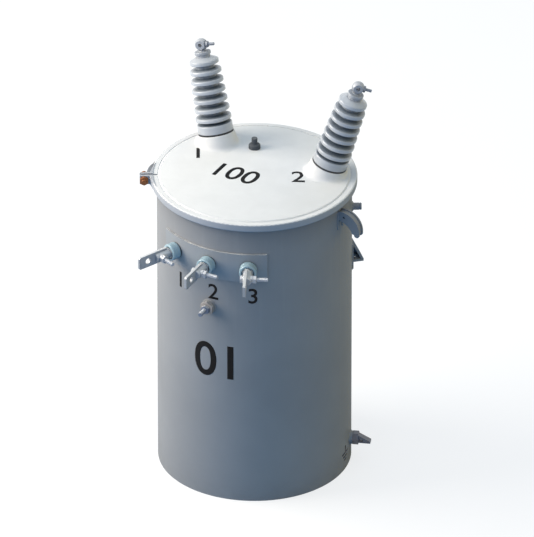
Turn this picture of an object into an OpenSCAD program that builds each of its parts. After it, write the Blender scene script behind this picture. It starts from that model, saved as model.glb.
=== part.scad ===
// Oil-filled single-phase distribution transformer for hanging on a pole.
// Millimetres, +Z up, the floor at z = 0 under the middle of the tank.
// The low-voltage side faces -Y. Angles are counted from that side, positive towards +X.

/* [Tank] */
// Outer diameter of the tank wall
tank_d = 430; // [360:1:520]
// Height of the wall up to the face that the lid gasket lies on
tank_h = 702; // [560:1:900]
// Thickness of the tank wall
wall_t = 3; // [2:0.1:5]
// Height of the bottom plate above the floor
floor_up = 18; // [8:1:30]
// Thickness of the bottom plate
floor_t = 5; // [3:0.5:10]
// How far the top flange stands out from the wall
flange_out = 8; // [5:0.5:12]
// Thickness of the top flange
flange_t = 5; // [3:0.5:8]

/* [Lid] */
// Thickness of the lid gasket
lid_gasket_t = 4; // [2:0.5:6]
// Width of the lid gasket
lid_gasket_w = 15; // [8:0.5:20]
// Thickness of the lid sheet
lid_t = 3; // [2:0.1:5]
// How far the raised panel of the lid stays inside the flange
lid_step_in = 14; // [11:0.5:22]
// Height of the raised panel above the lid edge
lid_step_h = 4.5; // [2:0.5:8]
// Width of the slope that leads up to the raised panel
lid_slope_w = 3; // [1:0.5:6]
// Rise of the dome in the middle of the lid
dome_h = 6; // [3:0.5:15]
// Number of straight pieces that the dome's outline has
dome_steps = 10; // [6:1:16]

/* [Clamp band] */
// Thickness of the band
band_t = 3; // [2:0.1:5]
// Play between the band's web and the flanges
band_gap = 0.5; // [0.2:0.1:1]
// Width of the band's upper lip on the lid
band_lip_w = 10; // [6:0.5:11]
// Radius of the band's rounded shoulder
band_round = 4; // [2:0.5:5]
// Angle of the closing ears
band_angle = -60; // [-80:1:-45]
// Opening between the two ends of the band
band_split = 6; // [4:0.5:20]
// How far the ears stand out from the band
ear_out = 26; // [24:1:40]
// Thickness of the ear plates
ear_t = 5; // [3:0.5:8]
// Height of the ear plates
ear_h = 21; // [19:0.5:32]
// Length of the web that stiffens each ear, along the band
ear_len = 44; // [24:1:60]
// How far that web stands out from the band at the ear
ear_web_out = 4; // [2:0.5:4.5]
// Diameter of the draw bolt
draw_bolt_d = 11; // [8:0.5:14]
// Distance of the draw bolt from the band
draw_bolt_out = 16.5; // [16:0.5:22]
// Play around the draw bolt
draw_bolt_play = 0.5; // [0.2:0.1:1]

/* [Plug] */
// Distance of the lid plug inside the tank wall
plug_in = 112; // [90:1:140]
// Angle of the lid plug
plug_angle = -151; // [-170:1:-140]
// Diameter of the plug's flange
plug_flange_d = 26; // [20:0.5:36]
// Height of the plug's flange above the lid
plug_flange_h = 9; // [5:0.5:14]
// Width of the chamfer on the plug's flange
plug_chamfer = 2.5; // [1:0.5:4]
// Diameter of the plug's stem
plug_stem_d = 13; // [8:0.5:18]
// Height of the plug's stem
plug_stem_h = 15; // [8:0.5:24]

/* [High-voltage bushings] */
// Angle of each bushing from the low-voltage side
hv_angle = 120; // [112:1:128]
// Distance of the bushing's seat inside the tank wall
hv_in = 50; // [45:0.5:62]
// Height of the seat above the lid edge
hv_seat_up = 26.5; // [24:0.5:40]
// Outward lean of the bushing
hv_lean = 18; // [8:0.5:22]
// Diameter of the boss at the seat
boss_seat_d = 82; // [80:0.5:88]
// Diameter of the boss at its foot
boss_foot_d = 96; // [88:0.5:104]
// Length of the boss along the bushing
boss_len = 45; // [40:1:55]
// Thickness of the bushing gasket
hv_gasket_t = 4; // [2:0.5:6]
// Diameter of the porcelain collar
collar_d = 79; // [70:0.5:80]
// Height of the porcelain collar
collar_h = 18.5; // [12:0.5:24]
// Diameter of the porcelain core between the sheds
core_d = 41; // [34:0.5:52]
// Diameter of the porcelain below the seat
shank_d = 48; // [36:0.5:54]
// Length of the porcelain below the seat
shank_len = 60; // [40:1:90]
// Play around the shank in the lid
shank_play = 1.5; // [0.5:0.1:3]
// Number of sheds above the collar
shed_n = 7; // [3:1:9]
// Distance from one shed to the next
shed_pitch = 21.4; // [18:0.1:26]
// Diameter of the lowest shed
shed_low_d = 80; // [70:0.5:90]
// Diameter of the last shed but one
shed_high_d = 70.5; // [62:0.5:80]
// Diameter of the top shed
shed_top_d = 65; // [58:0.5:70]
// Thickness of a shed at its rim
shed_rim = 9; // [6:0.5:11]
// Radius of the shed's lower edge
shed_low_round = 2; // [1:0.1:3]
// Radius of the shed's upper edge
shed_high_round = 3.5; // [1.5:0.1:5]
// Rise of the shed's upper face from rim to core
shed_rise = 4; // [2:0.5:6]
// Rise of the shed's lower face from rim to core
shed_hollow = 2; // [0.5:0.5:3]
// Rise of the cone on the top shed
crown_h = 7; // [4:0.5:12]
// Diameter of the flat that the cap stands on
crown_d = 36; // [30:0.5:44]

/* [High-voltage terminals] */
// Diameter of the cap's neck
cap_neck_d = 31; // [24:0.5:33]
// Height of the cap's neck
cap_neck_h = 6; // [2:0.5:8]
// Diameter of the cap's collar
cap_d = 36; // [34:0.5:42]
// Height of the cap's collar
cap_h = 7; // [4:0.5:10]
// Width of the cap's chamfer
cap_chamfer = 2; // [1:0.5:3]
// Diameter of the terminal's post
post_d = 14; // [10:0.5:18]
// Height of the terminal's post up to the middle of the eye
post_h = 15; // [13:0.5:20]
// Diameter of the terminal's eye
eye_d = 28; // [24:0.5:30]
// Width of the terminal's eye
eye_w = 19; // [15:0.5:22]
// Diameter of the wire hole in the eye
eye_hole_d = 9; // [6:0.5:10]
// Turn of the left terminal
eye_turn_left = -142; // [-160:1:-110]
// Turn of the right terminal
eye_turn_right = 0; // [-20:1:20]
// Diameter of the eye bolt
eye_bolt_d = 7; // [4:0.5:8]
// How far the eye bolt stands out of its nut
eye_bolt_out = 14; // [6:0.5:18]
// Width of the eye bolt's nut across its flats
eye_nut_w = 13; // [11:0.5:15]
// Height of the eye bolt's nut
eye_nut_h = 6; // [4:0.5:8]
// Play around the eye bolt
eye_bolt_play = 0.3; // [0.2:0.1:0.6]

/* [Low-voltage bushings] */
// Distance of the bushing axes below the lid edge
lv_down = 111; // [95:1:140]
// Turn of the low-voltage side about the tank axis
lv_turn = 1.5; // [-5:0.5:5]
// Angle between neighbouring bushings
lv_step_angle = 24; // [21:0.5:26]
// Thickness of the raised panel on the tank
panel_t = 4; // [3:0.5:6]
// Height of the raised panel
panel_h = 69; // [60:1:80]
// Half of the angle that the raised panel takes
panel_half_angle = 35; // [33:0.5:40]
// Thickness of the gasket at the bushing axis
lv_gasket_t = 2.5; // [2:0.5:5]
// Diameter of the gasket
lv_gasket_d = 37; // [34:0.5:38]
// Diameter of the bushing
lv_bushing_d = 38.5; // [38:0.5:44]
// Length of the bushing outside its gasket
lv_bushing_len = 19.5; // [14:0.5:26]
// Diameter of the recess in the bushing's outer face
lv_recess_d = 28; // [27:0.5:31]
// Depth of that recess
lv_recess_len = 5; // [2:0.5:5.5]
// Width of the bushing's chamfer
lv_chamfer = 2; // [1:0.5:3]
// Diameter of the bushing's shank
lv_shank_d = 28; // [22:0.5:30]
// Length of the shank behind the gasket
lv_shank_len = 40; // [20:1:60]
// Play around the shank in the wall
lv_shank_play = 1; // [0.5:0.1:2]
// Diameter of the stud
stud_d = 13; // [10:0.5:14]
// Play around the stud
stud_play = 0.3; // [0.2:0.1:0.6]
// Width of the stud's nut across its flats
stud_nut_w = 22; // [19:0.5:23]
// Height of the stud's nut
stud_nut_h = 6; // [4:0.5:8]
// Length of the stud inside the clamp terminal
stud_grip = 12; // [8:0.5:14]

/* [Low-voltage terminals] */
// Diameter of the clamp terminal's hub
hub_d = 20; // [18:0.5:24]
// Length of the clamp terminal's hub
hub_len = 36; // [32:0.5:42]
// Width of the chamfer on the hub's end
hub_chamfer = 2; // [1:0.5:4]
// Diameter of the round boss that the clamp bolt passes through
clamp_boss_d = 17; // [16:0.5:19]
// How far that boss stands out from the stud's axis towards the bolt's head
clamp_head_out = 10.5; // [10:0.5:14]
// How far that boss stands out from the stud's axis towards the bolt's nut
clamp_nut_out = 11.5; // [11:0.5:16]
// Distance of the clamp bolt from the hub's inner face
clamp_pos = 23; // [21:0.5:26]
// Diameter of the clamp bolt
clamp_d = 9.5; // [8:0.5:10]
// Play around the clamp bolt
clamp_play = 0.4; // [0.2:0.1:0.6]
// Width of the clamp bolt's head and nut across their flats
clamp_head_w = 16; // [14:0.5:18]
// Height of the clamp bolt's head
clamp_head_h = 5; // [4:0.5:9]
// Height of the clamp bolt's nut
clamp_nut_h = 9; // [5:0.5:10]
// How far the clamp bolt stands out of its nut
clamp_out = 25.5; // [10:0.5:32]
// Distance of the flat spade from the hub's inner face
spade_start = 3; // [2:0.5:6]
// Distance of the spade's tip from the hub's inner face
spade_len = 80; // [70:0.5:90]
// Height of the spade
spade_h = 30; // [26:0.5:36]
// Thickness of the spade
spade_t = 6; // [4:0.5:8]
// Distance of the spade's middle from the stud's axis, on the side of the bolt's head
spade_off = 3; // [0:0.5:5]
// Width of the chamfer on the spade's corners
spade_chamfer = 3; // [1:0.5:6]
// Diameter of the hole in the spade
spade_hole_d = 13; // [10:0.5:15]
// Distance of that hole from the spade's tip
spade_hole_in = 24; // [18:0.5:27]

/* [Neutral terminal] */
// Distance of the neutral terminal below the lid edge
neutral_down = 222; // [200:1:260]
// Diameter of the neutral boss
neutral_boss_d = 30; // [24:0.5:36]
// Length of the neutral boss
neutral_boss_len = 7; // [5:0.5:12]
// Width of the clamp plate across its flats
neutral_plate_w = 29; // [24:0.5:32]
// Thickness of the clamp plate
neutral_plate_t = 8; // [5:0.5:12]
// Width of the neutral bolt's head across its flats
neutral_head_w = 18; // [15:0.5:21]
// Height of the neutral bolt's head
neutral_head_h = 7.5; // [5:0.5:10]
// Diameter of the neutral bolt
neutral_bolt_d = 10; // [8:0.5:12]
// How far the neutral bolt stands out of its head
neutral_bolt_out = 22; // [4:0.5:30]

/* [Lifting lugs] */
// Angle of each lifting lug from the low-voltage side
lug_angle = 90; // [84:1:96]
// Width of a lug
lug_w = 19; // [16:0.5:26]
// Thickness of a lug's two side plates
lug_t = 4; // [3:0.5:6]
// Thickness of the plate that joins them
lug_web_t = 3; // [2:0.5:3.5]
// How far that plate lies behind the edges of the side plates
lug_recess = 2.5; // [1:0.5:3]
// Distance of the lug's top below the lid edge
lug_down = 27; // [22:0.5:40]
// Radius of the lug's outer curve
lug_outer_r = 44; // [38:0.5:50]
// How far the middle of the outer curve stands out from the wall
lug_outer_out = 8.5; // [4:0.5:12]
// Radius of the lug's inner curve
lug_inner_r = 46.8; // [42:0.1:50]
// How far the middle of the inner curve lies inside the wall
lug_inner_in = 7; // [4:0.5:10]
// Distance of the inner curve's middle below that of the outer curve
lug_inner_drop = 24; // [20:0.5:28]
// Radius of the lug's rounded tip
lug_tip_r = 6.5; // [6:0.5:7]
// Distance of the tip's middle below that of the outer curve
lug_tip_drop = 5; // [2:0.5:8]
// Diameter of the drain hole in the lug
lug_hole_d = 6; // [3:0.5:8]
// How far the drain hole stands out from the wall
lug_hole_out = 14; // [10:0.5:18]
// Distance of the drain hole below the lug's top
lug_hole_down = 13; // [10:0.5:16]

/* [Relief valve] */
// Angle of the relief valve
valve_angle = 120; // [112:1:126]
// Distance of the relief valve below the lid edge
valve_down = 82; // [70:1:110]
// Diameter of the relief valve's body
valve_d = 16; // [12:0.5:18]
// How far the relief valve stands out from the wall
valve_out = 21; // [14:0.5:30]
// Diameter of the relief valve's foot
valve_foot_d = 19; // [18:0.5:26]
// How far the foot stands out from the wall
valve_foot_out = 3; // [2:0.5:8]
// Width of the chamfer on the relief valve's end
valve_chamfer = 2; // [1:0.5:3]

/* [Arrester brackets] */
// Angle of each arrester bracket from the low-voltage side
bracket_angle = 134; // [130:1:145]
// Distance of the shelf's underside below the lid edge
bracket_down = 246; // [220:1:300]
// Height of the brace above the shelf's underside
bracket_h = 60; // [45:1:75]
// Width of the bracket
bracket_w = 36; // [28:0.5:44]
// How far the shelf stands out from its backing plate
bracket_out = 26; // [22:0.5:34]
// Thickness of the shelf and the brace
bracket_t = 6; // [3:0.5:7]
// Thickness of the web that closes the bracket's rear side
bracket_web_t = 4; // [3:0.5:6]
// Half of the angle that the backing plate takes
backing_half_angle = 12; // [9:0.5:15]
// Thickness of the backing plates
backing_t = 4; // [3:0.5:6]
// Diameter of the hole in the shelf
bracket_hole_d = 11; // [8:0.5:12]

/* [Hangers] */
// Distance from the upper to the lower hanger
hanger_step = 286; // [260:1:320]
// Distance of the upper hanger's middle below the lid edge
hanger_down = 125; // [110:1:160]
// Height of a hanger
hanger_h = 84; // [70:1:100]
// Width of a hanger
hanger_w = 90; // [76:1:110]
// How far a hanger stands out from its backing plate
hanger_out = 48; // [36:1:60]
// Thickness of the hanger plates
hanger_t = 5; // [4:0.5:8]
// Height of the cheeks where they meet the pole plate, as a share of the hanger's height
hanger_cheek_share = 0.7; // [0.5:0.05:0.9]
// Half of the angle that the hanger's backing plate takes
hanger_backing_half_angle = 15; // [13:0.5:18]
// Width of the bolt slot
slot_w = 18; // [14:0.5:20]
// Length of the bolt slot
slot_len = 40; // [30:1:50]

/* [Earth terminal] */
// Angle of the earth terminal
earth_angle = 110; // [104:1:118]
// Height of the earth terminal above the floor
earth_up = 56; // [45:1:90]
// Diameter of the earth boss
earth_boss_d = 30; // [24:0.5:36]
// Length of the earth boss
earth_boss_len = 6; // [4:0.5:12]
// Width of the earth clamp's hexagon across its flats
earth_hex_w = 27; // [22:0.5:30]
// Height of the earth clamp's hexagon
earth_hex_h = 13; // [8:0.5:18]
// Length of the earth clamp's tongue
earth_tongue_len = 27; // [22:0.5:32]
// Height of the tongue at the hexagon
earth_tongue_h = 19; // [16:0.5:22]
// Height of the tongue at its tip
earth_tip_h = 5; // [3:0.5:8]
// Width of the tongue
earth_tongue_w = 15; // [12:0.5:18]
// Diameter of the wire hole across the tongue
earth_hole_d = 8; // [5:0.5:8.5]
// Distance of the wire hole from the hexagon and from the tongue's flat underside
earth_hole_in = 6; // [5:0.5:8]

/* [Hidden] */
$fn = 96;
eps = tank_d / 43000;
tank_r = tank_d / 2;
flange_r = tank_r + flange_out;
lid_edge_low = tank_h + lid_gasket_t;
lid_edge = lid_edge_low + lid_t;
panel_top = lid_edge + lid_step_h;
panel_r = flange_r - lid_step_in;
slope_r = panel_r + lid_slope_w;
dome_r = (panel_r * panel_r + dome_h * dome_h) / (2 * dome_h);
band_in = flange_r + band_gap;
band_r = band_in + band_t;
band_low = tank_h - flange_t - band_t;
band_high = lid_edge + band_t;
band_h = band_high - band_low;
round_steps = 6;
shed_edge_angle = 75;
round_shares = [for (k = [0 : round_steps]) k / round_steps];
dome_shares = [for (k = [0 : dome_steps]) k / dome_steps];
hex_turn_angle = 30;
hex_share = 1 / cos(hex_turn_angle);
seat_z = lid_edge + hv_seat_up;
hv_pos = tank_r - hv_in;
plug_pos = tank_r - plug_in;
collar_top = hv_gasket_t + collar_h;
shed_first = hv_gasket_t + collar_h / 2 + shed_pitch;
shed_last = shed_first + (shed_n - 1) * shed_pitch;
crown_top = shed_last + shed_rim / 2 + crown_h;
cap_top = crown_top + cap_neck_h + cap_h;
eye_mid = cap_top + post_h;
lv_z = lid_edge - lv_down;
panel_out = tank_r + panel_t;
lv_seat = panel_out + lv_gasket_t;
lv_face = lv_seat + lv_bushing_len;
stud_seat = lv_face - lv_recess_len;
hub_face = stud_seat + stud_nut_h;
clamp_r = hub_face + clamp_pos;
neutral_z = lid_edge - neutral_down;
neutral_seat = tank_r + neutral_boss_len;
lug_outer_z = lid_edge - lug_down - lug_outer_r;
lug_inner_z = lug_outer_z - lug_inner_drop;
lug_tip_z = lug_outer_z - lug_tip_drop;
lug_tip_pos = tank_r + lug_outer_out + lug_outer_r - lug_tip_r;
valve_z = lid_edge - valve_down;
bracket_low = lid_edge - bracket_down;
backing_r = tank_r + backing_t;
bracket_end = backing_r + bracket_out;
hanger_top_z = lid_edge - hanger_down;
hanger_low_z = hanger_top_z - hanger_step;
hanger_face = backing_r + hanger_out;
earth_seat = tank_r + earth_boss_len;

// Places its children with z pointing away from the tank axis, y up and x along the wall
module radial(angle, height, distance) {
  rotate([0, 0, angle])
    translate([0, -distance, height])
      rotate([90, 0, 0])
        children();
}

// Turns an outline drawn as distance and height into an upright plate across the given angle
module upright(angle, width) {
  rotate([0, 0, angle])
    rotate([90, 0, -90])
      linear_extrude(height = width, center = true)
        children();
}

// A hexagonal prism, given across its flats
module hex(width, height) {
  cylinder(h = height, d = width * hex_share, $fn = 6);
}

// The space inside the given radius
module tank_space(r = tank_r) {
  cylinder(h = tank_h, r = r, $fn = 256);
}

// A plate bent round the tank
module wrapped(angle, half_angle, low, height, thickness) {
  rotate([0, 0, angle - half_angle - 90])
    rotate_extrude(angle = 2 * half_angle)
      translate([tank_r, low])
        square([thickness, height]);
}

function lv_angle(k) = lv_turn + k * lv_step_angle;
function dome_z(x) = panel_top + dome_h - dome_r + sqrt(dome_r * dome_r - x * x);
function arc_points(x, y, r, from, sweep) =
  [for (s = round_shares) [x + r * cos(from + sweep * s), y + r * sin(from + sweep * s)]];

// Everything under the lid's upper face, or under its lower face when lowered by the sheet
module under_dome(lower) {
  dome = [for (s = dome_shares) [panel_r * s, dome_z(panel_r * s) - lower]];
  rotate_extrude()
    polygon(concat([[0, tank_h - boss_len]], dome, [[panel_r, tank_h - boss_len]]));
}

module lid_sheet() {
  upper = [for (s = dome_shares) [panel_r * s, dome_z(panel_r * s)]];
  under = [for (s = dome_shares) [panel_r * (1 - s), dome_z(panel_r * (1 - s)) - lid_t]];
  edge = [[slope_r, lid_edge], [flange_r, lid_edge], [flange_r, lid_edge_low], [slope_r, lid_edge_low]];
  rotate_extrude()
    polygon(concat(upper, edge, under));
}

// Places its children on a leaning bushing seat
module on_seat(side) {
  rotate([0, 0, side * hv_angle])
    translate([0, -hv_pos, seat_z])
      rotate([hv_lean, 0, 0])
        children();
}

module hv_boss(side) {
  difference() {
    on_seat(side)
      translate([0, 0, -boss_len])
        cylinder(h = boss_len, d1 = boss_foot_d, d2 = boss_seat_d);
    under_dome(lid_t);
  }
}

module hv_shank_hole(side) {
  on_seat(side)
    translate([0, 0, -shank_len - boss_len])
      cylinder(h = shank_len + boss_len + collar_h, d = shank_d + 2 * shank_play);
}

module tank_wall() {
  color("slategray")
    difference() {
      rotate_extrude()
        polygon([
          [tank_r - wall_t, 0], [tank_r, 0], [tank_r, tank_h - flange_t], [flange_r, tank_h - flange_t],
          [flange_r, tank_h], [tank_r - wall_t, tank_h]
        ]);
      lv_wall_holes();
    }
}

module lv_wall_holes() {
  for (k = [-1 : 1])
    radial(lv_angle(k), lv_z, lv_seat - lv_shank_len)
      cylinder(h = lv_shank_len, d = lv_shank_d + 2 * lv_shank_play);
}

module tank_floor() {
  color("slategray")
    translate([0, 0, floor_up])
      cylinder(h = floor_t, r = tank_r - wall_t);
}

module lid_gasket() {
  color("dimgray")
    translate([0, 0, tank_h])
      difference() {
        cylinder(h = lid_gasket_t, r = flange_r);
        translate([0, 0, -eps])
          cylinder(h = lid_gasket_t + 2 * eps, r = flange_r - lid_gasket_w);
      }
}

module lid() {
  color("gainsboro")
    difference() {
      union() {
        lid_sheet();
        hv_boss(-1);
        hv_boss(1);
      }
      hv_shank_hole(-1);
      hv_shank_hole(1);
    }
}

module band_ring() {
  shoulder = arc_points(band_r - band_round, band_high - band_round, band_round, 0, 90);
  heel = arc_points(band_r - band_round, band_low + band_round, band_round, -90, 90);
  rotate_extrude()
    difference() {
      polygon(concat(
        [[band_in - band_lip_w, band_high], [band_in - band_lip_w, lid_edge], [tank_r + band_gap, band_low]],
        heel, shoulder
      ));
      translate([0, tank_h - flange_t])
        square([band_in, lid_edge - tank_h + flange_t]);
      translate([0, band_low - band_t])
        square([tank_r + band_gap, band_h]);
    }
}

module band_ear(side) {
  start = side * band_split / 2;
  plate = side * (band_split / 2 + ear_t);
  web = side * (band_split / 2 + ear_t + ear_len);
  web_end = sqrt(band_in * band_in - web * web);
  translate([0, 0, (band_low + band_high - ear_h) / 2])
    linear_extrude(height = ear_h)
      polygon([
        [start, -band_in], [start, -band_r - ear_out], [plate, -band_r - ear_out],
        [plate, -band_r - ear_web_out], [web, -web_end]
      ]);
}

module clamp_band() {
  color("darkgray")
    difference() {
      union() {
        band_ring();
        rotate([0, 0, band_angle]) {
          difference() {
            union() {
              band_ear(-1);
              band_ear(1);
            }
            cylinder(h = band_high + ear_h, r = band_in);
          }
        }
      }
      rotate([0, 0, band_angle])
        translate([-band_split / 2, -band_r - eps, band_low - eps])
          cube([band_split, band_r - tank_r + lid_step_in, band_h + 2 * eps]);
      on_draw_line()
        translate([0, 0, -ear_len])
          cylinder(h = 2 * ear_len, d = draw_bolt_d + 2 * draw_bolt_play);
    }
}

// Places its children on the draw bolt's axis, z along the band
module on_draw_line() {
  rotate([0, 0, band_angle])
    translate([0, -band_r - draw_bolt_out, (band_low + band_high) / 2])
      rotate([0, 90, 0])
        children();
}

module clamp_bolt() {
  reach = band_split / 2 + ear_t;
  color("peru")
    on_draw_line()
      union() {
        translate([0, 0, -reach - draw_bolt_d])
          cylinder(h = 2 * reach + 2 * draw_bolt_d, d = draw_bolt_d);
        translate([0, 0, -reach - draw_bolt_d * 2 / 3])
          rotate([0, 0, hex_turn_angle])
            hex(draw_bolt_d * 5 / 3, draw_bolt_d * 2 / 3);
      }
}

module clamp_nut() {
  reach = band_split / 2 + ear_t;
  color("peru")
    on_draw_line()
      translate([0, 0, reach])
        difference() {
          rotate([0, 0, hex_turn_angle])
            hex(draw_bolt_d * 5 / 3, draw_bolt_d * 2 / 3);
          translate([0, 0, -eps])
            cylinder(h = draw_bolt_d, d = draw_bolt_d);
        }
}

module lid_plug() {
  color("dimgray")
    difference() {
      rotate([0, 0, plug_angle])
        translate([0, -plug_pos, panel_top])
          rotate_extrude()
            polygon([
              [0, -lid_t], [plug_flange_d / 2, -lid_t],
              [plug_flange_d / 2, dome_h + plug_flange_h - plug_chamfer],
              [plug_flange_d / 2 - plug_chamfer, dome_h + plug_flange_h],
              [plug_stem_d / 2, dome_h + plug_flange_h],
              [plug_stem_d / 2, dome_h + plug_flange_h + plug_stem_h],
              [0, dome_h + plug_flange_h + plug_stem_h]
            ]);
      under_dome(0);
    }
}

module hv_gasket(side) {
  color("black")
    on_seat(side)
      difference() {
        cylinder(h = hv_gasket_t, d = collar_d);
        translate([0, 0, -eps])
          cylinder(h = hv_gasket_t + 2 * eps, d = shank_d + 2 * shank_play);
      }
}

function shed_d(k) =
  k == shed_n - 1 ? shed_top_d : shed_low_d + (shed_high_d - shed_low_d) * k / max(1, shed_n - 2);

// Outline of one shed from its lower root over the rim to its upper root
function shed_outline(k) =
  let (
    z = shed_first + k * shed_pitch,
    r = shed_d(k) / 2,
    low = z - shed_rim / 2,
    high = z + shed_rim / 2
  )
  concat(
    [[core_d / 2, low + shed_hollow]],
    arc_points(r - shed_low_round, low + shed_low_round, shed_low_round, -90, 90),
    arc_points(r - shed_high_round, high - shed_high_round, shed_high_round, 0, shed_edge_angle),
    k == shed_n - 1 ? [] : [[core_d / 2, high + shed_rise]]
  );

module hv_bushing(side) {
  sheds = [for (k = [0 : shed_n - 1]) each shed_outline(k)];
  collar = concat(
    [[collar_d / 2, hv_gasket_t]],
    arc_points(
      collar_d / 2 - shed_high_round, collar_top - shed_high_round, shed_high_round, 0, shed_edge_angle
    ),
    [[core_d / 2, collar_top + shed_rise]]
  );
  color("lightsteelblue")
    on_seat(side)
      rotate_extrude()
        polygon(concat(
          [[0, hv_gasket_t - shank_len], [shank_d / 2, hv_gasket_t - shank_len], [shank_d / 2, hv_gasket_t]],
          collar, sheds,
          [[crown_d / 2, crown_top], [0, crown_top]]
        ));
}

module hv_cap(side) {
  color("silver")
    on_seat(side)
      translate([0, 0, crown_top])
        rotate_extrude()
          polygon([
            [0, 0], [cap_neck_d / 2, 0], [cap_neck_d / 2, cap_neck_h],
            [cap_d / 2, cap_neck_h + cap_chamfer / 2], [cap_d / 2, cap_neck_h + cap_h - cap_chamfer],
            [cap_d / 2 - cap_chamfer, cap_neck_h + cap_h], [0, cap_neck_h + cap_h]
          ]);
}

// Places its children in the middle of a terminal's eye, x along its bolt
module in_eye(side) {
  on_seat(side)
    translate([0, 0, eye_mid])
      rotate([0, 0, side < 0 ? eye_turn_left : eye_turn_right])
        rotate([0, 0, -90])
          children();
}

module hv_terminal(side) {
  color("silver")
    difference() {
      union() {
        on_seat(side)
          translate([0, 0, cap_top])
            cylinder(h = post_h, d = post_d);
        in_eye(side)
          intersection() {
            sphere(d = eye_d);
            translate([-eye_d, -eye_w / 2, -eye_d])
              cube([2 * eye_d, eye_w, 2 * eye_d]);
          }
      }
      in_eye(side) {
        rotate([90, 0, 0])
          cylinder(h = 2 * eye_w, d = eye_hole_d, center = true);
        rotate([0, 90, 0])
          cylinder(h = eye_d, d = eye_bolt_d + 2 * eye_bolt_play);
        translate([eye_d / 2 - eye_bolt_d / 2, -eye_w, -eye_d])
          cube([eye_d, 2 * eye_w, 2 * eye_d]);
      }
    }
}

module hv_eye_bolt(side) {
  start = eye_hole_d / 2 + eye_bolt_play;
  face = eye_d / 2 - eye_bolt_d / 2;
  color("gray")
    in_eye(side)
      rotate([0, 90, 0])
        union() {
          translate([0, 0, start])
            cylinder(h = face + eye_nut_h + eye_bolt_out - start, d = eye_bolt_d);
          translate([0, 0, face])
            hex(eye_nut_w, eye_nut_h);
        }
}

module lv_panel() {
  color("slategray")
    difference() {
      wrapped(lv_turn, panel_half_angle, lv_z - panel_h / 2, panel_h, panel_t);
      lv_wall_holes();
    }
}

module lv_gasket(k) {
  color("dimgray")
    difference() {
      radial(lv_angle(k), lv_z, tank_r)
        cylinder(h = lv_seat - tank_r, d = lv_gasket_d);
      tank_space(panel_out);
      lv_wall_holes();
    }
}

module lv_bushing(k) {
  outer = lv_bushing_d / 2;
  color("cadetblue")
    radial(lv_angle(k), lv_z, lv_seat)
      difference() {
        rotate_extrude()
          polygon([
            [0, -lv_shank_len], [lv_shank_d / 2, -lv_shank_len], [lv_shank_d / 2, 0], [outer, 0],
            [outer, lv_bushing_len - lv_chamfer], [outer - lv_chamfer, lv_bushing_len],
            [lv_recess_d / 2, lv_bushing_len], [lv_recess_d / 2, lv_bushing_len - lv_recess_len],
            [0, lv_bushing_len - lv_recess_len]
          ]);
        translate([0, 0, -lv_shank_len - eps])
          cylinder(h = lv_shank_len + lv_bushing_len + 2 * eps, d = stud_d + 2 * stud_play);
      }
}

module lv_stud(k) {
  color("silver")
    radial(lv_angle(k), lv_z, lv_seat - lv_shank_len)
      union() {
        cylinder(h = hub_face + stud_grip - lv_seat + lv_shank_len, d = stud_d);
        translate([0, 0, stud_seat - lv_seat + lv_shank_len])
          hex(stud_nut_w, stud_nut_h);
      }
}

// The flat spade's outline, drawn as distance and height
module spade_outline() {
  polygon([
    [spade_start, -spade_h / 2], [spade_len - spade_chamfer, -spade_h / 2],
    [spade_len, -spade_h / 2 + spade_chamfer], [spade_len, spade_h / 2 - spade_chamfer],
    [spade_len - spade_chamfer, spade_h / 2], [spade_start, spade_h / 2]
  ]);
}

module lv_terminal(k) {
  color("silver")
    radial(lv_angle(k), lv_z, hub_face)
      difference() {
        union() {
          rotate_extrude()
            polygon([
              [0, 0], [hub_d / 2, 0], [hub_d / 2, hub_len - hub_chamfer],
              [hub_d / 2 - hub_chamfer, hub_len], [0, hub_len]
            ]);
          translate([-clamp_head_out, 0, clamp_pos])
            rotate([0, 90, 0])
              cylinder(h = clamp_head_out + clamp_nut_out, d = clamp_boss_d);
          translate([-spade_off, 0, 0])
            rotate([0, -90, 0])
              linear_extrude(height = spade_t, center = true)
                spade_outline();
        }
        translate([0, 0, -eps])
          cylinder(h = stud_grip + stud_play + eps, d = stud_d + 2 * stud_play);
        translate([0, 0, clamp_pos])
          rotate([0, 90, 0])
            cylinder(h = 2 * hub_len, d = clamp_d + 2 * clamp_play, center = true);
        translate([0, 0, spade_len - spade_hole_in])
          rotate([0, 90, 0])
            cylinder(h = 2 * hub_len, d = spade_hole_d, center = true);
      }
}

module lv_bolt(k) {
  color("lightgray")
    radial(lv_angle(k), lv_z, clamp_r)
      rotate([0, 90, 0])
        union() {
          translate([0, 0, -clamp_head_out - clamp_head_h])
            hex(clamp_head_w, clamp_head_h);
          translate([0, 0, -clamp_head_out])
            cylinder(h = clamp_head_out + clamp_nut_out + clamp_nut_h + clamp_out, d = clamp_d);
          translate([0, 0, clamp_nut_out])
            hex(clamp_head_w, clamp_nut_h);
        }
}

module neutral_boss() {
  color("slategray")
    difference() {
      radial(lv_turn, neutral_z, tank_r - wall_t)
        cylinder(h = neutral_boss_len + wall_t, d = neutral_boss_d);
      tank_space();
    }
}

module neutral_clamp() {
  color("tan")
    radial(lv_turn, neutral_z, neutral_seat)
      union() {
        hex(neutral_plate_w, neutral_plate_t);
        translate([0, 0, neutral_plate_t])
          hex(neutral_head_w, neutral_head_h);
        translate([0, 0, neutral_plate_t + neutral_head_h])
          cylinder(h = neutral_bolt_out, d = neutral_bolt_d);
      }
}

// The lug's outline, drawn smaller by the inset along its outer curve and its tip
module lug_outline(inset) {
  difference() {
    union() {
      intersection() {
        translate([tank_r + lug_outer_out, lug_outer_z])
          circle(r = lug_outer_r - inset);
        translate([tank_r - lug_inner_in, lug_tip_z])
          square([2 * lug_outer_r, 2 * lug_outer_r]);
      }
      translate([lug_tip_pos, lug_tip_z])
        circle(r = lug_tip_r - inset);
    }
    translate([tank_r - lug_inner_in, lug_inner_z])
      circle(r = lug_inner_r);
  }
}

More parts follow.
